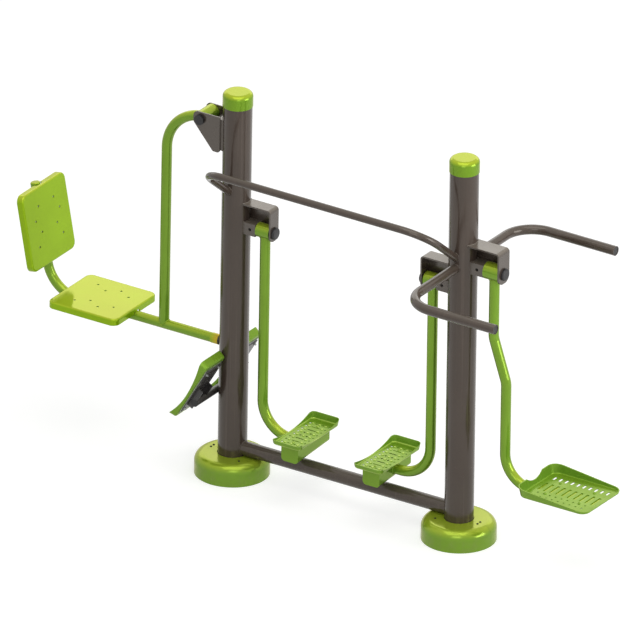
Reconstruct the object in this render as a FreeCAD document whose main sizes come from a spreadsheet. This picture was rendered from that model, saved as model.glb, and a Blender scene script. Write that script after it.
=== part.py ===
import FreeCAD, Part
import math
import os
import re
import Sketcher
from FreeCAD import Placement, Rotation, Vector

# Outdoor walker with pendulum board and leg press on two posts, millimetres
# Origin on the ground at the axis of the left post
# +X towards the right post, +Y away from the handlebar, +Z up

doc = FreeCAD.newDocument("OutdoorWalker")
sheet = doc.addObject("Spreadsheet::Sheet", "Dims")
names_set = []
nodes = []

X_AXIS = Vector(1, 0, 0)
Y_AXIS = Vector(0, 1, 0)
Z_AXIS = Vector(0, 0, 1)
WORD = re.compile(r"\b(?!(?:sin|cos|tan|sqrt|max)\b)[a-z]\w*")


def size(name, number):
    """Write one driving dimension, in millimetres or degrees, into the sheet."""
    names_set.append(name)
    row = len(names_set)
    sheet.set("A%d" % row, name)
    sheet.set("B%d" % row, str(number))
    sheet.setAlias("B%d" % row, name)


def rule(text):
    """Turn a formula over size names into an expression over the sheet."""
    for name, formula in derived.items():
        text = re.sub(r"\b%s\b" % name, formula, text)
    return WORD.sub(lambda found: "Dims." + found.group(0), text)


def value(text):
    """Work a formula out as a plain number."""
    return float(sheet.evalExpression(rule(text)))


def bind(item, **formulas):
    """Bind properties of an object to formulas."""
    for prop, text in formulas.items():
        item.setExpression(prop.replace("__", "."), rule(text))


def put(item, x, y, z):
    """Bind the position of an object."""
    item.setExpression("Placement.Base.x", rule(x))
    item.setExpression("Placement.Base.y", rule(y))
    item.setExpression("Placement.Base.z", rule(z))


def spin(item, axis, text):
    """Bind the turn of an object about one axis, in degrees."""
    item.Placement = Placement(item.Placement.Base, Rotation(axis, 10))
    item.setExpression("Placement.Rotation.Angle", "(" + rule(text) + ") * 1deg")


def turn_to(item, x_dir, y_dir, z_dir):
    """Point the object's own axes along three fixed directions."""
    item.Placement = Placement(item.Placement.Base, Rotation(x_dir, y_dir, z_dir, "XYZ"))


def keep(item, label):
    """Mark an object as a finished sub-part and name its file."""
    item.Label = label
    nodes.append(item)
    return item


def block(name, corner, lengths):
    """Box from its lowest corner and its three lengths."""
    item = doc.addObject("Part::Box", name)
    bind(item, Length=lengths[0], Width=lengths[1], Height=lengths[2])
    put(item, *corner)
    return item


def rod(name, axis, radius, length, start):
    """Cylinder that starts at a point and runs along +X, +Y or +Z."""
    item = doc.addObject("Part::Cylinder", name)
    bind(item, Radius=radius, Height=length)
    if axis == "X":
        item.Placement.Rotation = Rotation(Z_AXIS, X_AXIS)
    if axis == "Y":
        item.Placement.Rotation = Rotation(Z_AXIS, Y_AXIS)
    put(item, *start)
    return item


def hexagon(name, axis, across, height, start):
    """Hexagonal bar, as on nuts and bolt heads, from its width across corners."""
    item = doc.addObject("Part::Prism", name)
    item.Polygon = 6
    bind(item, Circumradius=across + " / 2", Height=height)
    if axis == "X":
        item.Placement.Rotation = Rotation(Z_AXIS, X_AXIS)
    if axis == "Y":
        item.Placement.Rotation = Rotation(Z_AXIS, Y_AXIS)
    put(item, *start)
    return item


def join(name, *pieces):
    """Weld solids into one."""
    item = doc.addObject("Part::MultiFuse", name)
    item.Shapes = list(pieces)
    return item


def group(name, *pieces):
    """Keep separate equal solids together as one set."""
    item = doc.addObject("Part::Compound", name)
    item.Links = list(pieces)
    return item


def cut(name, base, *tools):
    """Take one or more solids away from another."""
    tool = tools[0]
    if len(tools) > 1:
        tool = join(name + "Tools", *tools)
    item = doc.addObject("Part::Cut", name)
    item.Base = base
    item.Tool = tool
    return item


def ring(name, axis, outer, inner, length, start):
    """Cylinder with a round bore right through."""
    solid = rod(name + "Solid", axis, outer, length, start)
    bore = rod(name + "Bore", axis, inner, length, start)
    return cut(name, solid, bore)


def mirrored(source, name):
    """The same piece on the other side of the plane midway between the posts."""
    item = doc.addObject("Part::Mirroring", name)
    item.Source = source
    item.Normal = X_AXIS
    bind(item, Base__x="post_span / 2")
    return item


def body(name):
    """New empty body."""
    return doc.addObject("PartDesign::Body", name)


def sketch(owner, name, role, lift=None):
    """Sketch on an origin plane of its own body, lifted off it by a formula if given."""
    item = owner.newObject("Sketcher::SketchObject", name)
    plane = [part for part in owner.Origin.OriginFeatures if part.Role == role][0]
    item.AttachmentSupport = [(plane, "")]
    item.MapMode = "FlatFace"
    if lift:
        bind(item, AttachmentOffset__Base__z=lift)
    return item


def place_point(item, geometry, end, x, y):
    """Dimension one sketch point from the sketch origin with two formulas."""
    for kind, text, axis in (("DistanceX", x, -2), ("DistanceY", y, -1)):
        if text == "0":
            item.addConstraint(Sketcher.Constraint("PointOnObject", geometry, end, axis))
            continue
        rest = Sketcher.Constraint(kind, -1, 1, geometry, end, value(text))
        index = item.addConstraint(rest)
        label = "%s_%d_%d" % (kind.lower(), geometry, end)
        item.renameConstraint(index, label)
        item.setExpression("Constraints." + label, rule(text))


def dimension(item, constraint, label, text):
    """Add a driving dimension to a sketch and bind it."""
    index = item.addConstraint(constraint)
    item.renameConstraint(index, label)
    item.setExpression("Constraints." + label, rule(text))


def polygon(item, corners):
    """Closed outline of straight lines through dimensioned corners."""
    spots = [Vector(value(x), value(y), 0) for x, y in corners]
    for index, spot in enumerate(spots):
        item.addGeometry(Part.LineSegment(spot, spots[(index + 1) % len(spots)]))
    for index, (x, y) in enumerate(corners):
        after = (index + 1) % len(spots)
        item.addConstraint(Sketcher.Constraint("Coincident", index, 2, after, 1))
        place_point(item, index, 1, x, y)


def circle(item, x, y, radius):
    """Dimensioned circle."""
    centre = Vector(value(x), value(y), 0)
    index = item.addGeometry(Part.Circle(centre, Z_AXIS, value(radius)))
    dimension(item, Sketcher.Constraint("Radius", index, value(radius)), "radius_%d" % index, radius)
    place_point(item, index, 3, x, y)


def slot(item, x, y, length, width):
    """Straight slot along the sketch's X axis with round ends, centred on a point."""
    half = value(length) / 2 - value(width) / 2
    radius = value(width) / 2
    mid = Vector(value(x), value(y), 0)
    left = mid - Vector(half, 0, 0)
    right = mid + Vector(half, 0, 0)
    rise = Vector(0, radius, 0)
    low = item.addGeometry(Part.LineSegment(left - rise, right - rise))
    nose = Part.ArcOfCircle(Part.Circle(right, Z_AXIS, radius), -math.pi / 2, math.pi / 2)
    nose = item.addGeometry(nose)
    top = item.addGeometry(Part.LineSegment(right + rise, left + rise))
    tail = Part.ArcOfCircle(Part.Circle(left, Z_AXIS, radius), math.pi / 2, math.pi * 3 / 2)
    tail = item.addGeometry(tail)
    for first, first_end, second, second_end in (
            (low, 2, nose, 1), (nose, 2, top, 1), (top, 2, tail, 1), (tail, 2, low, 1)):
        item.addConstraint(Sketcher.Constraint("Tangent", first, first_end, second, second_end))
    half_text = "(%s) / 2 - (%s) / 2" % (length, width)
    place_point(item, nose, 3, "(%s) + %s" % (x, half_text), y)
    place_point(item, tail, 3, "(%s) - (%s)" % (x, half_text), y)
    dimension(item, Sketcher.Constraint("Radius", nose, radius), "nose_%d" % nose, "(%s) / 2" % width)


def rounded_rectangle(item, x, y, width, length, corner):
    """Dimensioned rectangle with four equal round corners, centred on a point."""
    mid = Vector(value(x), value(y), 0)
    radius = value(corner)
    dx = value(width) / 2 - radius
    dy = value(length) / 2 - radius
    signs = ((1, 1), (-1, 1), (-1, -1), (1, -1))
    quarters = []
    for index, (sx, sy) in enumerate(signs):
        centre = mid + Vector(sx * dx, sy * dy, 0)
        start = math.pi / 2 * index
        arc = Part.ArcOfCircle(Part.Circle(centre, Z_AXIS, radius), start, start + math.pi / 2)
        quarters.append((centre, arc))
    for index, (centre, arc) in enumerate(quarters):
        item.addGeometry(arc)
        item.addGeometry(Part.LineSegment(arc.EndPoint, quarters[(index + 1) % 4][1].StartPoint))
    for index in range(4):
        arc = 2 * index
        line = arc + 1
        item.addConstraint(Sketcher.Constraint("Tangent", arc, 2, line, 1))
        item.addConstraint(Sketcher.Constraint("Tangent", line, 2, (line + 1) % 8, 1))
    dimension(item, Sketcher.Constraint("Radius", 0, radius), "corner", corner)
    for index in (1, 2):
        item.addConstraint(Sketcher.Constraint("Equal", 0, 2 * index))
    half_x = "(%s) / 2 - (%s)" % (width, corner)
    half_y = "(%s) / 2 - (%s)" % (length, corner)
    place_point(item, 0, 3, "(%s) + %s" % (x, half_x), "(%s) + %s" % (y, half_y))
    place_point(item, 4, 3, "(%s) - (%s)" % (x, half_x), "(%s) - (%s)" % (y, half_y))


def pad(owner, profile, length, both_ways=False, taper=None):
    """Raise a sketch into a solid."""
    item = owner.newObject("PartDesign::Pad", owner.Name + "Pad")
    item.Profile = profile
    item.Midplane = both_ways
    bind(item, Length=length)
    if taper:
        item.setExpression("TaperAngle", "(" + rule(taper) + ") * 1deg")
    doc.recompute()
    return item


def pocket_up(owner, profile, length):
    """Cut a sketch into the solid above its plane."""
    item = owner.newObject("PartDesign::Pocket", owner.Name + "Pocket")
    item.Profile = profile
    item.Reversed = True
    bind(item, Length=length)
    doc.recompute()
    return item


def edges_where(shape, test):
    """Names of the edges that pass a test."""
    return ["Edge%d" % (index + 1) for index, edge in enumerate(shape.Edges) if test(edge)]


def round_edges(owner, base, test, radius):
    """Fillet the edges of a feature that pass a test."""
    item = owner.newObject("PartDesign::Fillet", owner.Name + "Fillet")
    item.Base = (base, edges_where(base.Shape, test))
    bind(item, Radius=radius)
    doc.recompute()
    return item


def turned(name, corners):
    """Body turned about its own Z axis from a closed outline in the XZ plane."""
    owner = body(name)
    outline = sketch(owner, name + "Outline", "XZ_Plane")
    polygon(outline, corners)
    item = owner.newObject("PartDesign::Revolution", name + "Turn")
    item.Profile = outline
    item.ReferenceAxis = (outline, ["V_Axis"])
    item.Angle = 360
    doc.recompute()
    return owner


def bent_tube(name, corners, bends, outer, inner):
    """Round tube whose centre line starts at the body's origin along +Y in its XY plane.

    corners are the points where the straight runs would meet, bends the radii there.
    """
    owner = body(name)
    route = sketch(owner, name + "Route", "XY_Plane")
    spots = [Vector(0, 0, 0)] + [Vector(value(x), value(y), 0) for x, y in corners]
    starts = [spots[0]]
    ends = []
    arcs = []
    for index, bend in enumerate(bends):
        spot = spots[index + 1]
        back = (spots[index] - spot).normalize()
        ahead = (spots[index + 2] - spot).normalize()
        radius = value(bend)
        half = back.getAngle(ahead) / 2
        reach = radius / math.tan(half)
        centre = spot + (back + ahead).normalize() * (radius / math.sin(half))
        ends.append(spot + back * reach)
        starts.append(spot + ahead * reach)
        to_left = (ahead.cross(back)).z > 0
        arcs.append((centre, radius, ends[-1], starts[-1], to_left))
    ends.append(spots[-1])
    order = []
    for index in range(len(starts)):
        line = route.addGeometry(Part.LineSegment(starts[index], ends[index]))
        if index:
            arc, to_left = order[-1]
            first, last = (1, 2) if to_left else (2, 1)
            route.addConstraint(Sketcher.Constraint("Tangent", arc - 1, 2, arc, first))
            route.addConstraint(Sketcher.Constraint("Tangent", arc, last, line, 1))
        if index < len(arcs):
            centre, radius, first, last, to_left = arcs[index]
            a, b = (first, last) if to_left else (last, first)
            low = math.atan2(a.y - centre.y, a.x - centre.x)
            high = math.atan2(b.y - centre.y, b.x - centre.x)
            if high < low:
                high = high + 2 * math.pi
            curve = Part.ArcOfCircle(Part.Circle(centre, Z_AXIS, radius), low, high)
            arc = route.addGeometry(curve)
            dimension(route, Sketcher.Constraint("Radius", arc, radius), "bend_%d" % arc, bends[index])
            order.append((arc, to_left))
    route.addConstraint(Sketcher.Constraint("Coincident", 0, 1, -1, 1))
    for index in range(len(bends)):
        corner = route.addGeometry(Part.Point(spots[index + 1]), True)
        route.addConstraint(Sketcher.Constraint("PointOnObject", corner, 1, 2 * index))
        route.addConstraint(Sketcher.Constraint("PointOnObject", corner, 1, 2 * index + 2))
        place_point(route, corner, 1, *corners[index])
    place_point(route, 2 * len(bends), 2, *corners[-1])
    section = sketch(owner, name + "Section", "XZ_Plane")
    circle(section, "0", "0", outer)
    if inner:
        circle(section, "0", "0", inner)
    doc.recompute()
    item = owner.newObject("PartDesign::AdditivePipe", name + "Pipe")
    item.Profile = section
    item.Spine = (route, ["Edge%d" % (index + 1) for index in range(2 * len(bends) + 1)])
    doc.recompute()
    return owner

# Driving sizes, millimetres and degrees

sizes = {
    # Posts
    "post_dia": 140,
    "post_wall": 5,
    "post_span": 1270,
    "post_top": 1956,
    "flange_thick": 20,
    # Post caps
    "cap_skirt": 46,
    "cap_wall": 2.6,
    "cap_fit": 0.4,
    "cap_crown": 25,
    "cap_round": 23,
    "cap_thick": 4,
    # Base flanges
    "flange_dia": 300,
    "anchor_circle": 230,
    "anchor_hole": 22,
    # Ground tube between the posts
    "ground_tube_dia": 70,
    "ground_tube_wall": 3.5,
    "ground_tube_height": 139.5,
    # Base covers
    "cover_dia": 360,
    "cover_wall": 3,
    "cover_tube_gap": 0.5,
    "cover_post_gap": 2,
    "cover_round": 44,
    "cover_seam": 0.6,
    "cover_screw_dia": 6,
    "cover_screw_head": 11,
    "cover_screw_long": 22,
    "cover_screw_reach": 112,
    "cover_screw_side": 12,
    "cover_far_screw_x": 85,
    "cover_far_screw_y": 74,
    # Handlebar in front of both posts
    "handlebar_dia": 36.4,
    "handlebar_wall": 3,
    "handlebar_drop": 262,
    "handlebar_reach": 327,
    "handlebar_tilt": 39,
    "handlebar_bend": 143,
    # Side handles of the pendulum board on the right post
    "handle_dia": 47.6,
    "handle_wall": 3,
    "handle_drop": 528,
    "handle_reach": 522,
    "handle_length": 520,
    "handle_bend": 150,
    "plug_depth": 22,
    "plug_inset": 1.5,
    "plug_fit": 0.1,
    # Walker axles, sockets and hoods
    "walker_axle_height": 1298,
    "walker_leg_offset": 165,
    "walker_hub_length": 73,
    "walker_hub_dia": 72,
    "axle_dia": 25,
    "axle_fit": 0.05,
    "bearing_dia": 52,
    "bearing_width": 15,
    "bearing_inset": 1,
    "hub_side_gap": 1.2,
    "spacer_dia": 34,
    "spacer_gap": 0.3,
    "socket_width": 62,
    "socket_hole": 16,
    "socket_hole_inset": 27,
    "set_screw_sink": 5,
    "set_screw_gap": 0.3,
    "hood_plate": 8,
    "hood_bend": 18,
    "hood_height": 127,
    "walker_hood_half": 36,
    "walker_hood_reach": 215,
    "walker_ear_drop": 40,
    "hood_web": 5,
    "hood_web_gap": 2,
    "walker_ear_round": 29,
    "axle_thread": 11,
    "axle_nut": 36,
    "axle_nut_thick": 10,
    "axle_cap_dia": 60,
    "axle_cap_height": 14,
    "axle_cap_wall": 2,
    "axle_cap_round": 7,
    # Pendulum board axle, socket and hood on the right post
    "swing_axle_height": 1432,
    "swing_leg_offset": 177.6,
    "swing_hub_length": 84,
    "swing_hub_dia": 86,
    "swing_hood_height": 120,
    "swing_hood_half": 46,
    "swing_hood_reach": 230,
    "swing_ear_drop": 48,
    "swing_ear_round": 37,
    # Walker legs
    "leg_dia": 50,
    "leg_wall": 3.2,
    "walker_leg_bend": 161,
    "walker_foot_axis": 260.7,
    "pedal_offset": 407,
    "bracket_width": 94,
    # Pressed foot tray, used four times
    "pedal_width": 153,
    "tray_length": 350,
    "tray_corner": 22,
    "tray_draft": 11,
    "tray_thick": 3,
    "tray_fold": 11,
    "pedal_heel": 25,
    "pedal_low": 7,
    "pedal_toe": 37,
    "pedal_low_place": -20,
    "tray_slot_length": 46,
    "tray_slot_width": 7,
    "tray_hole_dia": 11,
    "tray_hole_pitch": 35,
    "tray_bump_dia": 15,
    "tray_bump_rise": 3,
    "tray_bump_slope": 35,
    # Walker pedals
    "pedal_clear": 0.3,
    "pedal_lift": 13,
    "bracket_length": 274,
    "bracket_depth": 89,
    "bracket_rise": 13,
    "bracket_wall": 4,
    "bracket_round": 20,
    "pedal_bolt_dia": 8,
    "pedal_bolt_head": 15,
    "pedal_bolt_pitch": 210,
    "pedal_bolt_grip": 16,
    "pedal_nut_thick": 6.4,
    "bolt_hole_gap": 0.4,
    # Pendulum board leg
    "swing_jog_top": 1093,
    "swing_jog_low": 872,
    "swing_jog": 74.4,
    "swing_jog_bend": 110,
    "swing_leg_bend": 148,
    "board_floor": 390,
    "board_middle": 1886,
    "board_width": 380,
    "board_depth": 326,
    "board_corner": 44,
    "board_draft": 12,
    "board_thick": 4,
    "board_fold": 10,
    "board_wall_high": 50,
    "board_wall_low": 13,
    "board_dip": 22,
    "board_dip_round": 110,
    "carrier_width": 320,
    "carrier_depth": 160,
    "carrier_thick": 5,
    "swing_leg_end": 60,
    # Pendulum board
    "board_slot_length": 82,
    "board_slot_width": 13,
    "board_slot_pitch": 33,
    "board_short_slot": 34,
    "board_short_place": 101,
    "board_square": 9,
    "board_square_place": -72,
    "board_slot_shift": 4,
    "board_bolt_span": 190,
    "board_bolt_across": 133,
    # Leg press gussets and axle on the left post
    "press_axle_drop": 144,
    "press_axle_offset": 172,
    "gusset_gap": 104,
    "gusset_thick": 6,
    "gusset_rise": 38,
    "gusset_nose": 38,
    "gusset_foot": 147,
    "gusset_nose_drop": 19,
    "gusset_foot_width": 30,
    "gusset_lap": 8,
    "gusset_nose_round": 26,
    "gusset_foot_round": 13,
    "saddle_thick": 6,
    "saddle_margin": 12,
    "press_axle_end": 10,
    "press_hub_dia": 76,
    "press_hub_gap": 1.2,
    "press_cap_dia": 50,
    "press_cap_height": 14,
    "press_cap_wall": 3,
    # Leg press swing arm
    "press_arm_drop": 11,
    "press_arm_offset": 392,
    "press_arm_bend": 214,
    "seat_bar_dia": 47.5,
    "seat_bar_wall": 3,
    "seat_bar_height": 665,
    # Seat bar with buffer and end cap
    "buffer_length": 10,
    "buffer_gap": 0.3,
    "buffer_sleeve": 40,
    "buffer_sleeve_wall": 1.2,
    "seat_bar_turn": 78.9,
    "seat_bar_corner": -1018,
    "seat_bar_bend": 175,
    "seat_bar_top": 1197,
    "end_cap_thick": 9,
    "end_cap_round": 7,
    # Seat and back panels
    "panel_side": 370,
    "panel_lip": 16,
    "panel_corner": 36,
    "panel_skirt": 34,
    "panel_skin": 5,
    "panel_edge": 9,
    "panel_face_height": 44.5,
    "panel_notch_gap": 1,
    "panel_notch_rise": 9,
    "panel_hole_dia": 12,
    "panel_hole_floor": 2,
    "panel_head_dia": 10,
    "panel_head_thick": 4,
    "panel_bolt_dia": 6,
    "panel_boss_dia": 24,
    "panel_row_pitch": 64.5,
    "panel_narrow_half": 65,
    "panel_wide_half": 102,
    "seat_middle": -731,
    "back_middle": 358,
    "mount_plate_side": 236,
    "mount_plate_thick": 4,
    # Foot rests of the leg press on the left post
    "rest_width": 170,
    "rest_heel": 38,
    "rest_low": 12,
    "rest_toe": 40,
    "rest_low_place": -36,
    "rest_tilt": 30.2,
    "rest_middle": 156.5,
    "rest_centre_x": -84.5,
    "rest_centre_z": 478,
    "rest_tube_dia": 36,
    "rest_tube_wall": 3,
    "rest_tube_length": 392,
    "rest_tube_height": 409,
    "rest_tube_cap": 6,
    "rest_plate_thick": 3,
    "rest_plate_length": 300,
    "rest_plate_margin": 15,
    "rest_bracket_depth": 34,
    "rest_bracket_below": 95,
    "rest_bracket_above": 20,
    "rest_flange_length": 270,
    "rest_bracket_width": 90,
    "rest_bracket_wall": 4,
    "rest_bolt_pitch": 105,
    "rest_bolt_along": 238,
    "rest_bolt_tail": 12,
}

# Heights counted down from the top of the posts

derived = {
    "handlebar_height": "(post_top - handlebar_drop)",
    "handle_height": "(post_top - handle_drop)",
    "press_axle_height": "(post_top - press_axle_drop)",
}

for name, number in sizes.items():
    size(name, number)
sheet.recompute()

# Posts


def make_post():
    """Round steel post that stands on its flange plate."""
    return ring("Post", "Z", "post_dia / 2", "post_dia / 2 - post_wall",
                "post_top - flange_thick", ("0", "0", "flange_thick"))


post_left = keep(make_post(), "post_left")
keep(mirrored(post_left, "PostRight"), "post_right")


def post_core(name, x):
    """Full cylinder of a post, for trimming whatever is welded to it."""
    return rod(name, "Z", "post_dia / 2", "post_top", (x, "0", "0"))


# Post caps


def make_cap():
    """Moulded cap: a skirt over the post, a round shoulder and a flat crown."""
    outer = "post_dia / 2 + cap_fit + cap_wall"
    inner = "post_dia / 2 + cap_fit"
    ledge = "post_dia / 2 - post_wall"
    owner = turned("Cap", [
        (inner, "post_top - cap_skirt"),
        (outer, "post_top - cap_skirt"),
        (outer, "post_top + cap_crown"),
        ("0", "post_top + cap_crown"),
        ("0", "post_top + cap_crown - cap_thick"),
        (ledge + " - cap_round / 2", "post_top + cap_crown - cap_thick"),
        (ledge, "post_top"),
        (inner, "post_top")])
    rim = value(outer)
    top = value("post_top + cap_crown")

    def shoulder(edge):
        box = edge.BoundBox
        return abs(box.ZMin - top) < 0.01 and abs(box.ZMax - top) < 0.01 and abs(box.XMax - rim) < 0.1

    round_edges(owner, owner.Tip, shoulder, "cap_round")
    return owner


cap_left = keep(make_cap(), "post_cap_left")
keep(mirrored(cap_left, "CapRight"), "post_cap_right")

# Base flanges


def anchor_spots():
    """Formulas of the four bolt centres, on the diagonals of the flange."""
    reach = "anchor_circle / 2 * cos(45deg)"
    return [(sx + reach, sy + reach) for sx in ("", "-") for sy in ("", "-")]


def make_flange():
    """Round plate welded under the post, with four anchor holes."""
    plate = rod("FlangePlate", "Z", "flange_dia / 2", "flange_thick", ("0", "0", "0"))
    holes = []
    for index, (x, y) in enumerate(anchor_spots()):
        holes.append(rod("FlangeHole%d" % index, "Z", "anchor_hole / 2", "flange_thick", (x, y, "0")))
    return cut("Flange", plate, *holes)


flange_left = keep(make_flange(), "base_flange_left")
keep(mirrored(flange_left, "FlangeRight"), "base_flange_right")

# Ground tube between the posts


def make_ground_tube():
    """Straight tube welded between the two posts just above the base covers."""
    tube = ring("GroundTubeRaw", "X", "ground_tube_dia / 2", "ground_tube_dia / 2 - ground_tube_wall",
                "post_span", ("0", "0", "ground_tube_height"))
    return cut("GroundTube", tube, post_core("GroundCoreLeft", "0"),
               post_core("GroundCoreRight", "post_span"))


keep(make_ground_tube(), "ground_tube")

# Base covers


def make_cover():
    """Round shell in two halves round the foot of the post, split along the X axis."""
    top = "ground_tube_height - ground_tube_dia / 2 - cover_tube_gap"
    outer = "cover_dia / 2"
    neck = "post_dia / 2 + cover_post_gap"
    shell = turned("CoverShell", [
        (outer, "0"),
        (outer, top),
        (neck, top),
        (neck, top + " - cover_wall"),
        (outer + " - cover_wall", top + " - cover_wall"),
        (outer + " - cover_wall", "0")])
    edge_z = value(top)
    edge_r = value(outer)

    def crown(edge):
        box = edge.BoundBox
        level = abs(box.ZMin - edge_z) < 0.01 and abs(box.ZMax - edge_z) < 0.01
        return level and abs(box.XMax - edge_r) < 0.1

    def ceiling(edge):
        box = edge.BoundBox
        low = edge_z - value("cover_wall")
        reach = edge_r - value("cover_wall")
        level = abs(box.ZMin - low) < 0.01 and abs(box.ZMax - low) < 0.01
        return level and abs(box.XMax - reach) < 0.1

    first = round_edges(shell, shell.Tip, crown, "cover_round")
    round_edges(shell, first, ceiling, "cover_round - cover_wall")
    holes = []
    for index, sign in enumerate(("", "-")):
        holes.append(rod("CoverHole%d" % index, "Z", "cover_screw_dia / 2 + cover_seam / 2", "cover_dia",
                         ("-cover_screw_reach", sign + "cover_screw_side", "0")))
        holes.append(rod("CoverHoleFar%d" % index, "Z", "cover_screw_dia / 2 + cover_seam / 2", "cover_dia",
                         ("cover_far_screw_x", sign + "cover_far_screw_y", "0")))
    split = block("CoverSplit", ("-cover_dia / 2", "-cover_seam / 2", "0"),
                  ("cover_dia", "cover_seam", "cover_dia"))
    return cut("Cover", shell, split, *holes)


cover_left = keep(make_cover(), "base_cover_left")
keep(mirrored(cover_left, "CoverRight"), "base_cover_right")


def make_cover_screws():
    """Four pan-head screws that hold the halves down."""
    top = "ground_tube_height - ground_tube_dia / 2 - cover_tube_gap"
    solids = []
    spots = (("-cover_screw_reach", "cover_screw_side"), ("-cover_screw_reach", "-cover_screw_side"),
             ("cover_far_screw_x", "cover_far_screw_y"),
             ("cover_far_screw_x", "-cover_far_screw_y"))
    for index, (x, y) in enumerate(spots):
        shank = rod("CoverShank%d" % index, "Z", "cover_screw_dia / 2", "cover_screw_long",
                    (x, y, top + " - cover_screw_long"))
        head = rod("CoverHead%d" % index, "Z", "cover_screw_head / 2", "cover_wall", (x, y, top))
        solids.append(join("CoverScrew%d" % index, shank, head))
    return group("CoverScrews", *solids)


screws_left = make_cover_screws()
keep(group("CoverScrewsAll", screws_left, mirrored(screws_left, "CoverScrewsRight")), "cover_screws")

# Handlebar in front of both posts


def make_handlebar():
    """One tube: up and forward from the left post, across, and back down to the right post."""
    run = "handlebar_reach / cos(handlebar_tilt * 1deg)"
    tube = bent_tube("HandlebarTube",
                     [("0", run), ("post_span", run), ("post_span", "0")],
                     ["handlebar_bend", "handlebar_bend"],
                     "handlebar_dia / 2", "handlebar_dia / 2 - handlebar_wall")
    spin(tube, X_AXIS, "180 - handlebar_tilt")
    put(tube, "0", "0", "handlebar_height - handlebar_reach * tan(handlebar_tilt * 1deg)")
    return cut("Handlebar", tube, post_core("BarCoreLeft", "0"), post_core("BarCoreRight", "post_span"))


keep(make_handlebar(), "handlebar")

# Side handles of the pendulum board on the right post


def make_side_handle(side):
    """Level tube out from the post to one side and round to the right."""
    tube = bent_tube("Handle" + side + "Tube",
                     [("0", "handle_reach"), ("handle_length", "handle_reach")],
                     ["handle_bend"], "handle_dia / 2", "handle_dia / 2 - handle_wall")
    if side == "Near":
        turn_to(tube, X_AXIS, -Y_AXIS, -Z_AXIS)
    put(tube, "post_span", "0", "handle_height")
    return cut("Handle" + side, tube, post_core("HandleCore" + side, "post_span"))


def make_plug(side, y):
    """Black plug pressed into the open end of a side handle."""
    return rod("Plug" + side, "X", "handle_dia / 2 - handle_wall - plug_fit", "plug_depth",
               ("post_span + handle_length - plug_depth - plug_inset", y, "handle_height"))


keep(make_side_handle("Near"), "side_handle_near")
keep(make_side_handle("Far"), "side_handle_far")
keep(group("Plugs", make_plug("Near", "-handle_reach"), make_plug("Far", "handle_reach")),
     "handle_plugs")

# Walker axles, sockets and hoods


def make_hood(name, reach, half, top, drop, ear_round, axis_z, hub):
    """Folded cover plate over a hub: top plate, end plate with the axle hole and back web."""
    owner = body(name + "Fold")
    outline = sketch(owner, name + "Outline", "XZ_Plane")
    ear = "%s - (%s)" % (axis_z, drop)
    polygon(outline, [
        ("0", top + " - hood_plate"), ("(%s) - hood_plate" % reach, top + " - hood_plate"),
        ("(%s) - hood_plate" % reach, ear), (reach, ear), (reach, top), ("0", top)])
    raised = pad(owner, outline, "2 * (%s)" % half, both_ways=True)
    right = value(reach)
    high = value(top)
    low = value(ear)

    def outer_bend(edge):
        box = edge.BoundBox
        return box.YLength > 1 and box.XMin > right - 0.01 and box.ZMin > high - 0.01

    def inner_bend(edge):
        box = edge.BoundBox
        inside = box.XMin > 1 and box.XMax < right - 1 and box.ZMax < high - 1
        return box.YLength > 1 and inside and box.ZMin > low + 1

    def lower_corner(edge):
        box = edge.BoundBox
        return box.XLength > 1 and box.YLength < 0.01 and box.ZMax < low + 0.01

    bent = round_edges(owner, raised, outer_bend, "hood_bend")
    folded = round_edges(owner, bent, inner_bend, "hood_bend - hood_plate")
    round_edges(owner, folded, lower_corner, ear_round)
    web_rise = "sqrt(max(((%s) / 2 + hood_web_gap)^2 - ((%s) - hood_web)^2; 0))" % (hub, half)
    web_low = "(%s) + %s" % (axis_z, web_rise)
    web = block(name + "Web", ("0", "(%s) - hood_web" % half, web_low),
                ("(%s) - hood_plate" % reach, "hood_web", "%s - hood_plate - (%s)" % (top, web_low)))
    bore = rod(name + "Hole", "X", "axle_dia / 2 + axle_fit", "2 * hood_plate",
               ("(%s) - 1.5 * hood_plate" % reach, "0", axis_z))
    return cut(name, join(name + "Plates", owner, web), post_core(name + "Core", "0"), bore)


def make_socket(name, axis_z, start):
    """Square block tube between the post and the hub that grips the fixed end of the axle."""
    square = block(name + "Square", ("0", "-socket_width / 2", "%s - socket_width / 2" % axis_z),
                   (start, "socket_width", "socket_width"))
    bore = rod(name + "Bore", "X", "axle_dia / 2", start, ("0", "0", axis_z))
    screw = rod(name + "Screw", "Y", "socket_hole / 2", "socket_width / 2",
                ("post_dia / 2 + socket_hole_inset", "-socket_width / 2", axis_z))
    return cut(name, square, post_core(name + "Core", "0"), bore, screw)


def make_set_screw(name, axis_z):
    """Socket set screw that locks the axle in its block, sunk under the surface."""
    length = "socket_width / 2 - axle_dia / 2 - set_screw_sink - set_screw_gap"
    return rod(name, "Y", "socket_hole / 2 - axle_fit", length,
               ("post_dia / 2 + socket_hole_inset", "-socket_width / 2 + set_screw_sink", axis_z))


def make_axle(name, axis_z, reach):
    """Shaft from the post face through block, hub and end plate, with a threaded end."""
    return rod(name, "X", "axle_dia / 2", "(%s) + axle_thread - post_dia / 2" % reach,
               ("post_dia / 2", "0", axis_z))


def make_axle_nut(name, axis_z, reach):
    """Hexagon nut on the end of an axle."""
    nut = hexagon(name + "Hex", "X", "axle_nut", "axle_nut_thick", (reach, "0", axis_z))
    bore = rod(name + "Bore", "X", "axle_dia / 2", "axle_nut_thick", (reach, "0", axis_z))
    return cut(name, nut, bore)


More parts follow.
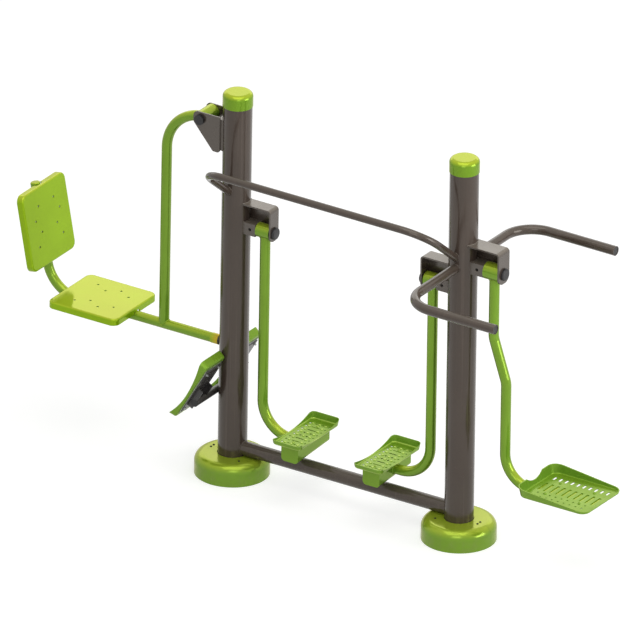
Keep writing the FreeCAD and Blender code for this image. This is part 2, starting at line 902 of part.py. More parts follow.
def make_axle_cap(name, axis_z, reach):
    """Black dome over nut and axle end."""
    owner = turned(name, [
        ("axle_cap_dia / 2", "0"),
        ("axle_cap_dia / 2", "axle_cap_height"),
        ("0", "axle_cap_height"),
        ("0", "axle_cap_height - axle_cap_wall"),
        ("axle_cap_dia / 2 - axle_cap_wall", "axle_cap_height - axle_cap_wall"),
        ("axle_cap_dia / 2 - axle_cap_wall", "0")])
    top = value("axle_cap_height")
    rim = value("axle_cap_dia / 2")

    def crown(edge):
        box = edge.BoundBox
        return box.ZMin > top - 0.01 and abs(box.XMax - rim) < 0.1

    def ceiling(edge):
        box = edge.BoundBox
        level = abs(box.ZMin - top + value("axle_cap_wall")) < 0.01 and box.ZLength < 0.01
        return level and box.XMax > rim / 2

    first = round_edges(owner, owner.Tip, crown, "axle_cap_round")
    round_edges(owner, first, ceiling, "axle_cap_round - axle_cap_wall")
    owner.Placement.Rotation = Rotation(Z_AXIS, X_AXIS)
    put(owner, reach, "0", axis_z)
    return owner


def make_hub_spacers(name, axis_z, start, end, hub_start, hub_end):
    """Two loose rings on the axle that keep the hub off the block and off the end plate."""
    first = ring(name + "Inner", "X", "spacer_dia / 2", "axle_dia / 2 + axle_fit",
                 "(%s) + bearing_inset - spacer_gap - (%s)" % (hub_start, start), (start, "0", axis_z))
    second = ring(name + "Outer", "X", "spacer_dia / 2", "axle_dia / 2 + axle_fit",
                  "(%s) - (%s) + bearing_inset - spacer_gap" % (end, hub_end),
                  ("(%s) - bearing_inset + spacer_gap" % hub_end, "0", axis_z))
    return [first, second]


walker_hub_start = "walker_leg_offset - walker_hub_length / 2"
walker_hub_end = "walker_leg_offset + walker_hub_length / 2"
walker_socket_end = walker_hub_start + " - hub_side_gap"
walker_top = "(walker_axle_height + hood_height)"

hood_left = keep(make_hood("HoodLeft", "walker_hood_reach", "walker_hood_half", walker_top,
                           "walker_ear_drop", "walker_ear_round", "walker_axle_height",
                           "walker_hub_dia"), "hood_left")
keep(mirrored(hood_left, "HoodRight"), "hood_right")
socket_left = make_socket("SocketLeft", "walker_axle_height", walker_socket_end)
axle_left = make_axle("AxleLeft", "walker_axle_height", "walker_hood_reach")

# Pendulum board axle, socket and hood on the right post


swing_hub_start = "swing_leg_offset - swing_hub_length / 2"
swing_hub_end = "swing_leg_offset + swing_hub_length / 2"
swing_socket_end = swing_hub_start + " - hub_side_gap"
swing_top = "(swing_axle_height + swing_hood_height)"


def shifted(source, name):
    """The same piece carried over to the right post."""
    item = doc.addObject("Part::Compound", name)
    item.Links = [source]
    put(item, "post_span", "0", "0")
    return item


swing_hood = make_hood("HoodSwing", "swing_hood_reach", "swing_hood_half", swing_top,
                       "swing_ear_drop", "swing_ear_round", "swing_axle_height", "swing_hub_dia")
keep(shifted(swing_hood, "HoodSwingPlaced"), "hood_swing")
swing_socket = make_socket("SocketSwing", "swing_axle_height", swing_socket_end)
keep(group("AxleBlocks", socket_left, mirrored(socket_left, "SocketRight"),
           shifted(swing_socket, "SocketSwingPlaced")), "axle_blocks")
swing_axle = make_axle("AxleSwing", "swing_axle_height", "swing_hood_reach")
keep(group("HubAxles", axle_left, mirrored(axle_left, "AxleRight"),
           shifted(swing_axle, "AxleSwingPlaced")), "hub_axles")

# Small hardware on the three axles

walker_nut = make_axle_nut("NutWalker", "walker_axle_height", "walker_hood_reach")
swing_nut = make_axle_nut("NutSwing", "swing_axle_height", "swing_hood_reach")
keep(group("AxleNuts", walker_nut, mirrored(walker_nut, "NutWalkerRight"),
           shifted(swing_nut, "NutSwingPlaced")), "axle_nuts")
walker_cap = make_axle_cap("CapWalker", "walker_axle_height", "walker_hood_reach")
swing_cap = make_axle_cap("CapSwing", "swing_axle_height", "swing_hood_reach")
keep(group("AxleCaps", walker_cap, mirrored(walker_cap, "CapWalkerRight"),
           shifted(swing_cap, "CapSwingPlaced")), "axle_caps")
walker_set = make_set_screw("SetWalker", "walker_axle_height")
swing_set = make_set_screw("SetSwing", "swing_axle_height")
keep(group("SetScrews", walker_set, mirrored(walker_set, "SetWalkerRight"),
           shifted(swing_set, "SetSwingPlaced")), "axle_set_screws")
walker_rings = group("RingsWalker", *make_hub_spacers(
    "SpacerWalker", "walker_axle_height", walker_socket_end, "walker_hood_reach - hood_plate",
    walker_hub_start, walker_hub_end))
swing_rings = group("RingsSwing", *make_hub_spacers(
    "SpacerSwing", "swing_axle_height", swing_socket_end, "swing_hood_reach - hood_plate",
    swing_hub_start, swing_hub_end))
keep(group("AxleSpacers", walker_rings, mirrored(walker_rings, "RingsWalkerRight"),
           shifted(swing_rings, "RingsSwingPlaced")), "axle_spacers")


def make_bearings(name, axis_z, hub_start, hub_end):
    """Two bearings, one inside each end of a hub."""
    rings = []
    for index, start in enumerate((hub_start + " + bearing_inset",
                                   hub_end + " - bearing_inset - bearing_width")):
        rings.append(ring(name + str(index), "X", "bearing_dia / 2", "axle_dia / 2 + axle_fit",
                          "bearing_width", (start, "0", axis_z)))
    return group(name, *rings)


# Walker legs


def make_walker_leg():
    """Hub with a tube that hangs from it and turns in under the pedal."""
    drop = "walker_axle_height - walker_foot_axis"
    run = "pedal_offset - bracket_width / 2 - walker_leg_offset"
    tube = bent_tube("WalkerTube", [("0", drop), (run, drop)], ["walker_leg_bend"],
                     "leg_dia / 2", "leg_dia / 2 - leg_wall")
    turn_to(tube, X_AXIS, -Z_AXIS, Y_AXIS)
    put(tube, "walker_leg_offset", "0", "walker_axle_height")
    hub_axis = (walker_hub_start, "0", "walker_axle_height")
    inside = rod("WalkerHubCore", "X", "walker_hub_dia / 2 - leg_wall", "walker_hub_length", hub_axis)
    hub = rod("WalkerHub", "X", "walker_hub_dia / 2", "walker_hub_length", hub_axis)
    bore = rod("WalkerHubBore", "X", "bearing_dia / 2", "walker_hub_length", hub_axis)
    trimmed = cut("WalkerTubeTrimmed", tube, inside)
    return cut("WalkerLeg", join("WalkerWeld", trimmed, hub), bore)


leg_left = keep(make_walker_leg(), "walker_leg_left")
keep(mirrored(leg_left, "LegRight"), "walker_leg_right")
bearings_left = keep(make_bearings("BearingWalker", "walker_axle_height", walker_hub_start,
                                   walker_hub_end), "walker_bearings_left")
keep(mirrored(bearings_left, "BearingsRight"), "walker_bearings_right")

# Pressed foot tray, used four times


def tray_shell(name, width, length, corner, height, draft, fold, thick):
    """Open dish with drafted walls, round corners and a round fold round the floor."""
    solids = []
    for part, inset in (("Outer", "0"), ("Inner", thick)):
        owner = body(name + part)
        outline = sketch(owner, name + part + "Outline", "XY_Plane")
        rounded_rectangle(outline, "0", "0", "(%s) - 2 * (%s)" % (width, inset),
                          "(%s) - 2 * (%s)" % (length, inset), "(%s) - (%s)" % (corner, inset))
        raised = pad(owner, outline, height, taper=draft)
        round_edges(owner, raised, lambda edge: edge.BoundBox.ZMax < 0.01, "(%s) - (%s)" % (fold, inset))
        solids.append(owner)
    put(solids[1], "0", "0", thick)
    return solids


def rim_tool(name, width, heel_rim, low_rim, toe_rim, low_place):
    """Everything above the curved rim of a foot tray, for trimming its walls."""
    owner = body(name)
    outline = sketch(owner, name + "Outline", "YZ_Plane")
    half = value("tray_length / 2")
    end = half + value(toe_rim)
    top = 2 * value(toe_rim)
    low_y = value(low_place)
    low_z = value(low_rim)
    heel = Vector(-half, value(heel_rim), 0)
    toe = Vector(half, value(toe_rim), 0)
    low = Vector(low_y, low_z, 0)

    def dip(first, last, side):
        flat = abs(side.x - low.x)
        rise = side.y - low.y
        radius = (flat * flat + rise * rise) / (2 * rise)
        centre = Vector(low_y, low_z + radius, 0)
        start = math.atan2(first.y - centre.y, first.x - centre.x)
        stop = math.atan2(last.y - centre.y, last.x - centre.x)
        return Part.ArcOfCircle(Part.Circle(centre, Z_AXIS, radius), start, stop)

    lines = [Part.LineSegment(Vector(-end, heel.y, 0), heel), dip(heel, low, heel), dip(low, toe, toe),
             Part.LineSegment(toe, Vector(end, toe.y, 0)),
             Part.LineSegment(Vector(end, toe.y, 0), Vector(end, top, 0)),
             Part.LineSegment(Vector(end, top, 0), Vector(-end, top, 0)),
             Part.LineSegment(Vector(-end, top, 0), Vector(-end, heel.y, 0))]
    for line in lines:
        outline.addGeometry(line)
    for index in range(7):
        outline.addConstraint(Sketcher.Constraint("Coincident", index, 2, (index + 1) % 7, 1))
    half_text = "tray_length / 2"
    end_text = "tray_length / 2 + " + toe_rim
    top_text = "2 * " + toe_rim
    place_point(outline, 0, 1, "-(%s)" % end_text, heel_rim)
    place_point(outline, 1, 1, "-(%s)" % half_text, heel_rim)
    place_point(outline, 2, 1, low_place, low_rim)
    place_point(outline, 3, 1, half_text, toe_rim)
    place_point(outline, 4, 1, end_text, toe_rim)
    place_point(outline, 5, 1, end_text, top_text)
    place_point(outline, 6, 1, "-(%s)" % end_text, top_text)
    for arc in (1, 2):
        rest = Sketcher.Constraint("DistanceX", -1, 1, arc, 3, low_y)
        dimension(outline, rest, "dip_%d" % arc, low_place)
    pad(owner, outline, "2 * " + width, both_ways=True)
    return owner


def make_tray(name, width, heel_rim, low_rim, toe_rim, low_place, side_rows):
    """Pressed tray: curved rim, drain slots and holes, raised grip bumps, all on one square grid."""
    outer, inner = tray_shell(name, width, "tray_length", "tray_corner", toe_rim + " + tray_thick",
                              "tray_draft", "tray_fold", "tray_thick")
    piercing = body(name + "Piercing")
    marks = sketch(piercing, name + "Marks", "XY_Plane")
    for row in slot_rows:
        slot(marks, "0", "%s * tray_hole_pitch" % row, "tray_slot_length", "tray_slot_width")
    for side in ("-", ""):
        for row in side_rows:
            circle(marks, side + "1.5 * tray_hole_pitch", "%s * tray_hole_pitch" % row,
                   "tray_hole_dia / 2")
        for row in plain_rows:
            circle(marks, side + "tray_hole_pitch / 2", "%s * tray_hole_pitch" % row,
                   "tray_hole_dia / 2")
    pad(piercing, marks, "3 * tray_thick")
    put(piercing, "0", "0", "-tray_thick")
    pressed = body(name + "Bumps")
    spots = sketch(pressed, name + "BumpSpots", "XY_Plane")
    for side in ("-", ""):
        for row in plain_rows + slot_rows:
            circle(spots, side + "tray_hole_pitch", "%s * tray_hole_pitch" % row, "tray_bump_dia / 2")
    for row in plain_rows:
        circle(spots, "0", "%s * tray_hole_pitch" % row, "tray_bump_dia / 2")
    pad(pressed, spots, "tray_bump_rise", taper="-tray_bump_slope")
    put(pressed, "0", "0", "tray_thick")
    rim = rim_tool(name + "Rim", width, heel_rim, low_rim, toe_rim, low_place)
    dish = cut(name + "Dish", outer, inner, rim, piercing)
    return join(name, dish, pressed)


plain_rows = ["-3.5", "-0.5", "0.5", "3.5"]
slot_rows = ["-2.5", "-1.5", "1.5", "2.5"]
inner_rows = ["-2.5", "-1.5", "-0.5", "0.5", "1.5", "2.5"]
pedal_tray = make_tray("PedalTray", "pedal_width", "pedal_heel", "pedal_low", "pedal_toe",
                       "pedal_low_place", plain_rows + slot_rows)

# Walker pedals


pedal_floor = "walker_foot_axis + leg_dia / 2 + pedal_clear + pedal_lift"


def bracket_block(name, inset):
    """Sloped-bottom block with two round bottom edges; its top is the underside of the tray."""
    owner = body(name)
    side = sketch(owner, name + "Side", "YZ_Plane")
    end = "bracket_length / 2 - (%s)" % inset
    polygon(side, [
        ("-(%s)" % end, "(%s) - bracket_depth" % inset),
        (end, "(%s) - bracket_depth + bracket_rise" % inset),
        (end, inset),
        ("-(%s)" % end, inset)])
    raised = pad(owner, side, "bracket_width - 2 * (%s)" % inset, both_ways=True)
    low = value("(%s) - bracket_depth + bracket_rise" % inset)

    def bottom_edge(edge):
        box = edge.BoundBox
        return box.YLength > 1 and box.ZMax < low + 0.01 and box.XLength < 0.01

    round_edges(owner, raised, bottom_edge, "bracket_round - (%s)" % inset)
    return owner


def make_pedal_bracket():
    """Closed pan under the tray with two drilled tabs level with its rim."""
    pan = cut("PedalPan", bracket_block("PedalPanOuter", "0"),
              bracket_block("PedalPanInner", "bracket_wall"))
    tabs = []
    holes = []
    for index, side in enumerate(("-", "")):
        middle = side + "pedal_bolt_pitch / 2"
        tabs.append(block("BracketTab%d" % index,
                          ("-bracket_width / 2 + bracket_wall / 2", middle + " - bracket_width / 4",
                           "-bracket_wall"),
                          ("bracket_width - bracket_wall", "bracket_width / 2", "bracket_wall")))
        holes.append(rod("BracketHole%d" % index, "Z", "pedal_bolt_dia / 2", "bracket_round",
                         ("0", middle, "-bracket_round / 2")))
    return cut("PedalBracket", join("PedalBracketWeld", pan, *tabs), *holes)


def place_pedal_piece(source, name):
    """Set a piece of the walker pedal under or on the plane of the tray's underside."""
    item = doc.addObject("Part::Compound", name)
    item.Links = [source]
    put(item, "pedal_offset", "0", pedal_floor)
    return item


def tray_bolt_holes(name, pitch):
    """Two bolt holes through the floor of a tray, in the tray's own frame."""
    return [rod(name + str(index), "Z", "pedal_bolt_dia / 2 + bolt_hole_gap", "4 * tray_thick",
                ("0", side + pitch + " / 2", "-tray_thick")) for index, side in enumerate(("-", ""))]


pedal_drilled = cut("PedalDrilled", pedal_tray, *tray_bolt_holes("PedalHole", "pedal_bolt_pitch"))
pedal_left = keep(place_pedal_piece(pedal_drilled, "PedalLeft"), "walker_pedal_left")
keep(mirrored(pedal_left, "PedalRight"), "walker_pedal_right")
bracket_left = keep(place_pedal_piece(make_pedal_bracket(), "BracketLeft"), "pedal_bracket_left")
keep(mirrored(bracket_left, "BracketRight"), "pedal_bracket_right")


def make_pedal_bolts():
    """Two button-head bolts with nuts that clamp tray and bracket together."""
    bolts = []
    for index, side in enumerate(("-", "")):
        place = ("0", side + "pedal_bolt_pitch / 2")
        shank = rod("PedalShank%d" % index, "Z", "pedal_bolt_dia / 2", "tray_thick + pedal_bolt_grip",
                    place + ("-pedal_bolt_grip",))
        head = rod("PedalHead%d" % index, "Z", "pedal_bolt_head / 2", "pedal_bolt_dia / 2",
                   place + ("tray_thick",))
        nut = hexagon("PedalNut%d" % index, "Z", "pedal_bolt_head", "pedal_nut_thick",
                      place + ("-bracket_wall - pedal_nut_thick",))
        bolts.append(join("PedalBolt%d" % index, shank, head, nut))
    return group("PedalBolts", *bolts)


bolts_left = keep(place_pedal_piece(make_pedal_bolts(), "PedalBoltsLeft"), "pedal_bolts_left")
keep(mirrored(bolts_left, "PedalBoltsRight"), "pedal_bolts_right")

# Pendulum board leg


def make_swing_leg():
    """Hub with an offset tube that hangs from it and turns out under the board."""
    drop = "swing_axle_height - (board_floor - carrier_thick - leg_dia / 2 - pedal_clear)"
    tube = bent_tube("SwingTube", [
        ("0", "swing_axle_height - swing_jog_top"),
        ("swing_jog", "swing_axle_height - swing_jog_low"),
        ("swing_jog", drop),
        ("board_middle + swing_leg_end - post_span - swing_leg_offset", drop)],
        ["swing_jog_bend", "swing_jog_bend", "swing_leg_bend"],
        "leg_dia / 2", "leg_dia / 2 - leg_wall")
    turn_to(tube, X_AXIS, -Z_AXIS, Y_AXIS)
    put(tube, "post_span + swing_leg_offset", "0", "swing_axle_height")
    hub_axis = ("post_span + " + swing_hub_start, "0", "swing_axle_height")
    inside = rod("SwingHubCore", "X", "swing_hub_dia / 2 - leg_wall", "swing_hub_length", hub_axis)
    hub = rod("SwingHub", "X", "swing_hub_dia / 2", "swing_hub_length", hub_axis)
    bore = rod("SwingHubBore", "X", "bearing_dia / 2", "swing_hub_length", hub_axis)
    trimmed = cut("SwingTubeTrimmed", tube, inside)
    return cut("SwingLeg", join("SwingWeld", trimmed, hub), bore)


keep(make_swing_leg(), "swing_leg")
keep(make_bearings("BearingSwing", "swing_axle_height", "post_span + " + swing_hub_start,
                   "post_span + " + swing_hub_end), "swing_bearings")

# Pendulum board


def make_board():
    """Pressed board with drafted walls, rim falling to the right and rows of slots."""
    outer, inner = tray_shell("Board", "board_width", "board_depth", "board_corner",
                              "board_wall_high + board_thick", "board_draft", "board_fold", "board_thick")
    trim = body("BoardTrim")
    outline = sketch(trim, "BoardTrimOutline", "XZ_Plane")
    polygon(outline, [
        ("-board_width", "board_wall_high + (board_wall_high - board_wall_low) / 2"),
        ("board_width", "board_wall_low - (board_wall_high - board_wall_low) / 2"),
        ("board_width", "3 * board_wall_high"),
        ("-board_width", "3 * board_wall_high")])
    pad(trim, outline, "2 * board_depth", both_ways=True)
    dip = rod("BoardDip", "X", "board_dip_round", "board_width * 0.75",
              ("-board_width", "0", "board_wall_high - board_dip + board_dip_round"))
    cuts = []
    for index in range(10):
        x = "(%d - 4.5) * board_slot_pitch" % index
        cuts.append(block("BoardSlot%d" % index,
                          (x + " - board_slot_width / 2", "-board_slot_length / 2 - board_slot_shift",
                           "-board_thick"),
                          ("board_slot_width", "board_slot_length", "3 * board_thick")))
        cuts.append(block("BoardShortSlot%d" % index,
                          (x + " - board_slot_width / 2", "board_short_place - board_short_slot / 2",
                           "-board_thick"),
                          ("board_slot_width", "board_short_slot", "3 * board_thick")))
    for index in range(9):
        x = "(%d - 4) * board_slot_pitch - board_square / 2" % index
        for row in (0, 1):
            cuts.append(block("BoardSquare%d_%d" % (index, row),
                              (x, "board_square_place - %d * board_slot_pitch - board_square / 2" % row,
                               "-board_thick"),
                              ("board_square", "board_square", "3 * board_thick")))
    for index, (sx, sy) in enumerate((("-", "-"), ("-", ""), ("", "-"), ("", ""))):
        cuts.append(rod("BoardHole%d" % index, "Z", "pedal_bolt_dia / 2 + bolt_hole_gap",
                        "3 * board_thick", (sx + "board_bolt_span / 2", sy + "board_bolt_across / 2",
                                            "-board_thick")))
    dish = cut("BoardDish", outer, inner, trim, dip, *cuts)
    holder = doc.addObject("Part::Compound", "BoardPlaced")
    holder.Links = [dish]
    put(holder, "board_middle", "0", "board_floor")
    return holder


def make_carrier():
    """Plate welded on the end of the leg, under the middle of the board."""
    plate = block("CarrierPlate", ("-carrier_width / 2", "-carrier_depth / 2", "-carrier_thick"),
                  ("carrier_width", "carrier_depth", "carrier_thick"))
    holes = []
    for index, (sx, sy) in enumerate((("-", "-"), ("-", ""), ("", "-"), ("", ""))):
        holes.append(rod("CarrierHole%d" % index, "Z", "pedal_bolt_dia / 2", "3 * carrier_thick",
                         (sx + "board_bolt_span / 2", sy + "board_bolt_across / 2", "-2 * carrier_thick")))
    holder = doc.addObject("Part::Compound", "CarrierPlaced")
    holder.Links = [cut("Carrier", plate, *holes)]
    put(holder, "board_middle", "0", "board_floor")
    return holder


def make_board_bolts():
    """Four bolts with nuts through board and carrier."""
    bolts = []
    for index, (sx, sy) in enumerate((("-", "-"), ("-", ""), ("", "-"), ("", ""))):
        place = (sx + "board_bolt_span / 2", sy + "board_bolt_across / 2")
        shank = rod("BoardShank%d" % index, "Z", "pedal_bolt_dia / 2", "board_thick + pedal_bolt_grip",
                    place + ("-pedal_bolt_grip",))
        head = rod("BoardHead%d" % index, "Z", "pedal_bolt_head / 2", "pedal_bolt_dia / 2",
                   place + ("board_thick",))
        nut = hexagon("BoardNut%d" % index, "Z", "pedal_bolt_head", "pedal_nut_thick",
                      place + ("-carrier_thick - pedal_nut_thick",))
        bolts.append(join("BoardBolt%d" % index, shank, head, nut))
    holder = group("BoardBolts", *bolts)
    put(holder, "board_middle", "0", "board_floor")
    return holder


keep(make_board(), "swing_board")
keep(make_carrier(), "board_carrier")
keep(make_board_bolts(), "board_bolts")

# Leg press gussets and axle on the left post


def make_gusset(name, y):
    """Triangular plate that carries one end of the press axle."""
    owner = body(name + "Body")
    outline = sketch(owner, name + "Outline", "XZ_Plane")
    root = "-post_dia / 2 + gusset_lap"
    nose = "-press_axle_offset - gusset_nose"
    polygon(outline, [
        (root, "press_axle_height + gusset_rise"),
        (nose, "press_axle_height + gusset_rise"),
        (nose, "press_axle_height - gusset_nose_drop"),
        ("-post_dia / 2 - gusset_foot_width", "press_axle_height - gusset_foot"),
        (root, "press_axle_height - gusset_foot")])
    raised = pad(owner, outline, "gusset_thick", both_ways=True)
    left = value(nose)

    def nose_edge(edge):
        box = edge.BoundBox
        return box.YLength > 1 and box.XMax < left + 0.01

    nose_round = round_edges(owner, raised, nose_edge, "gusset_nose_round")
    foot = value("press_axle_height - gusset_foot")

    def foot_edge(edge):
        box = edge.BoundBox
        return box.YLength > 1 and box.ZMax < foot + 0.01

    round_edges(owner, nose_round, foot_edge, "gusset_foot_round")
    put(owner, "0", y, "0")
    hole = rod(name + "Hole", "Y", "axle_dia / 2 + axle_fit", "2 * gusset_thick",
               ("-press_axle_offset", "(%s) - gusset_thick" % y, "press_axle_height"))
    return cut(name, owner, hole)


gusset_middle = "(gusset_gap / 2 + gusset_thick / 2)"
keep(make_gusset("GussetNear", "-" + gusset_middle), "press_gusset_near")
keep(make_gusset("GussetFar", gusset_middle), "press_gusset_far")


def make_saddle():
    """Back plate between the gussets and the post, hollowed to sit on the round post."""
    plate = block("SaddlePlate",
                  ("-post_dia / 2 - saddle_thick", "-gusset_gap / 2",
                   "press_axle_height - gusset_foot + saddle_margin"),
                  ("post_dia / 2", "gusset_gap", "gusset_foot + gusset_rise - 2 * saddle_margin"))
    return cut("Saddle", plate, post_core("SaddleCore", "0"))


keep(make_saddle(), "press_saddle")


def make_press_axle():
    """Shaft through both gussets."""
    return rod("PressAxle", "Y", "axle_dia / 2", "gusset_gap + 2 * gusset_thick + 2 * press_axle_end",
               ("-press_axle_offset", "-gusset_gap / 2 - gusset_thick - press_axle_end",
                "press_axle_height"))


keep(make_press_axle(), "press_axle")


def make_press_caps():
    """Round black caps over both ends of the press axle."""
    face = "(gusset_gap / 2 + gusset_thick)"
    near = rod("PressCapNear", "Y", "press_cap_dia / 2", "press_cap_height",
               ("-press_axle_offset", "-%s - press_cap_height" % face, "press_axle_height"))
    far = rod("PressCapFar", "Y", "press_cap_dia / 2", "press_cap_height",
              ("-press_axle_offset", face, "press_axle_height"))
    room = rod("PressCapRoom", "Y", "axle_dia / 2 + axle_fit",
               "2 * (%s + press_cap_height - press_cap_wall)" % face,
               ("-press_axle_offset", "-%s - press_cap_height + press_cap_wall" % face,
                "press_axle_height"))
    return cut("PressCaps", group("PressCapPair", near, far), room)


keep(make_press_caps(), "press_axle_caps")

# Leg press swing arm


def make_press_arm():
    """Hub with a tube that runs out and bends down to the seat bar."""
    run = "press_arm_offset - press_axle_offset"
    drop = "press_axle_height - press_arm_drop - seat_bar_height"
    tube = bent_tube("PressTube", [("0", run), (drop, run)], ["press_arm_bend"],
                     "leg_dia / 2", "leg_dia / 2 - leg_wall")
    turn_to(tube, -Z_AXIS, -X_AXIS, -Y_AXIS)
    put(tube, "-press_axle_offset", "0", "press_axle_height - press_arm_drop")
    hub_axis = ("-press_axle_offset", "-gusset_gap / 2 + press_hub_gap", "press_axle_height")
    length = "gusset_gap - 2 * press_hub_gap"
    hub = rod("PressHub", "Y", "press_hub_dia / 2", length, hub_axis)
    inside = rod("PressHubCore", "Y", "press_hub_dia / 2 - leg_wall", length, hub_axis)
    bore = rod("PressHubBore", "Y", "bearing_dia / 2", length, hub_axis)
    bar = rod("PressBarRoom", "X", "seat_bar_dia / 2", "2 * leg_dia",
              ("-press_arm_offset - leg_dia", "0", "seat_bar_height"))
    trimmed = cut("PressTubeTrimmed", tube, inside, bar)
    return cut("PressArm", join("PressWeld", trimmed, hub), bore)


keep(make_press_arm(), "press_arm")


def make_press_bearings():
    """Two bearings in the press hub."""
    rings = []
    for index, start in enumerate(("-gusset_gap / 2 + press_hub_gap + bearing_inset",
                                   "gusset_gap / 2 - press_hub_gap - bearing_inset - bearing_width")):
        rings.append(ring("BearingPress%d" % index, "Y", "bearing_dia / 2", "axle_dia / 2 + axle_fit",
                          "bearing_width", ("-press_axle_offset", start, "press_axle_height")))
    return group("BearingsPress", *rings)


keep(make_press_bearings(), "press_bearings")

# Seat bar with buffer and end cap


bar_start = "-post_dia / 2 - buffer_gap - buffer_length"


def make_seat_bar():
    """Tube under the seat that bends up behind the back rest."""
    run = "%s - seat_bar_corner" % bar_start
    climb = "(seat_bar_top - seat_bar_height)"
    lean = climb + " / tan(seat_bar_turn * 1deg)"
    tube = bent_tube("SeatBarTube", [("0", run), (climb, "%s + %s" % (run, lean))],
                     ["seat_bar_bend"], "seat_bar_dia / 2", "seat_bar_dia / 2 - seat_bar_wall")
    turn_to(tube, Z_AXIS, -X_AXIS, Y_AXIS)
    put(tube, bar_start, "0", "seat_bar_height")
    return tube


keep(make_seat_bar(), "seat_bar")


def make_buffer():
    """Rubber stop on the end of the seat bar: a stem in the tube, a collar and a nose."""
    stem = rod("BufferStem", "X", "seat_bar_dia / 2 - seat_bar_wall - plug_fit",
               "plug_depth + buffer_length / 2",
               (bar_start + " - plug_depth", "0", "seat_bar_height"))
    nose = doc.addObject("Part::Cone", "BufferNose")
    bind(nose, Radius1="seat_bar_dia / 2", Radius2="seat_bar_dia / 2 - seat_bar_wall",
         Height="buffer_length")
    nose.Placement.Rotation = Rotation(Z_AXIS, X_AXIS)
    put(nose, bar_start, "0", "seat_bar_height")
    return cut("BufferTrimmed", join("Buffer", stem, nose), rod(
        "BufferCore", "Z", "post_dia / 2 + buffer_gap", "post_top", ("0", "0", "0")))


keep(make_buffer(), "press_buffer")


def make_buffer_sleeve():
    """Yellow sleeve round the end of the seat bar next to the buffer."""
    return ring("BufferSleeve", "X", "seat_bar_dia / 2 + buffer_sleeve_wall",
                "seat_bar_dia / 2 + plug_fit", "buffer_sleeve",
                (bar_start + " - buffer_sleeve", "0", "seat_bar_height"))


keep(make_buffer_sleeve(), "buffer_sleeve")


def back_frame(item, along, lift):
    """Set a piece on the leaning back tube: along the tube from the bend corner, lift off its axis."""
    angle = "seat_bar_turn"
    spin(item, Y_AXIS, angle)
    put(item,
        "seat_bar_corner - (%s) * cos(%s * 1deg) + (%s) * sin(%s * 1deg)" % (along, angle, lift, angle),
        "0",
        "seat_bar_height + (%s) * sin(%s * 1deg) + (%s) * cos(%s * 1deg)" % (along, angle, lift, angle))
    return item


bar_tail = "(seat_bar_top - seat_bar_height) / sin(seat_bar_turn * 1deg)"


def make_end_cap():
    """Domed plug in the upper end of the seat bar."""
    owner = turned("EndCapTurn", [
        ("0", "-plug_depth"), ("seat_bar_dia / 2 - seat_bar_wall - plug_fit", "-plug_depth"),
        ("seat_bar_dia / 2 - seat_bar_wall - plug_fit", "0"), ("seat_bar_dia / 2", "0"),
        ("seat_bar_dia / 2", "end_cap_thick"), ("0", "end_cap_thick")])
    top = value("end_cap_thick")

    def nose(edge):
        return edge.BoundBox.ZMin > top - 0.01 and edge.BoundBox.XMax > 1

    round_edges(owner, owner.Tip, nose, "end_cap_round")
    holder = doc.addObject("Part::Compound", "EndCap")
    holder.Links = [owner]
    spin(holder, Y_AXIS, "seat_bar_turn - 90")
    put(holder, "seat_bar_corner - (%s) * cos(seat_bar_turn * 1deg)" % bar_tail, "0", "seat_bar_top")
    return holder


keep(make_end_cap(), "seat_bar_end_cap")

# Seat and back panels


def panel_spots():
    """The eight bolt places of a panel: four rows, narrow and wide in turn."""
    spots = []
    for row in range(4):
        half = "panel_narrow_half" if row % 2 else "panel_wide_half"
        x = "(%d - 1.5) * panel_row_pitch" % row
        spots.append((x, half))
        spots.append((x, "-" + half))
    return spots


def make_panel(name):
    """Moulded panel, face up at height zero, hollow below, with eight bolt bosses.

    Its X axis runs along the tube; row 0, a wide one, is at the -X side.
    """
    plate_top = "panel_face_height - seat_bar_dia / 2 - mount_plate_thick"
    owner = body(name + "Shell")
    outline = sketch(owner, name + "Outline", "XY_Plane", "-panel_skirt")
    rounded_rectangle(outline, "-panel_lip / 2", "0", "panel_side + panel_lip", "panel_side", "panel_corner")
    raised = pad(owner, outline, "panel_skirt")
    round_edges(owner, raised, lambda edge: edge.BoundBox.ZMin > -0.01, "panel_edge")
    hollow = sketch(owner, name + "Hollow", "XY_Plane", "-panel_skirt")
    rounded_rectangle(hollow, "-panel_lip / 2", "0", "panel_side + panel_lip - 2 * panel_skin",
                      "panel_side - 2 * panel_skin", "panel_corner - panel_skin")
    pocket_up(owner, hollow, "panel_skirt - panel_skin")
    bosses = []
    holes = []
    for index, (x, y) in enumerate(panel_spots()):
        bosses.append(rod("%sBoss%d" % (name, index), "Z", "panel_boss_dia / 2",
                          "%s - panel_skin / 2" % plate_top, (x, y, "-(%s)" % plate_top)))
        holes.append(rod("%sHole%d" % (name, index), "Z", "panel_bolt_dia / 2 + bolt_hole_gap",
                         "panel_skirt", (x, y, "-panel_skirt")))
        holes.append(rod("%sSink%d" % (name, index), "Z", "panel_hole_dia / 2",
                         "panel_skin + panel_hole_floor",
                         (x, y, "-panel_skin - panel_hole_floor")))
    notch_half = "(seat_bar_dia / 2 + panel_notch_gap)"
    notch = block(name + "Notch",
                  ("-panel_side", "-" + notch_half, "-panel_face_height"),
                  ("2 * panel_side", "2 * " + notch_half, notch_half))
    rise = block(name + "NotchRise",
                 ("-panel_side", "-" + notch_half, "-panel_face_height"),
                 ("panel_side", "2 * " + notch_half,
                  "seat_bar_dia / 2 + mount_plate_thick + panel_notch_rise"))
    return cut(name, join(name + "Moulded", owner, *bosses), notch, rise, *holes)


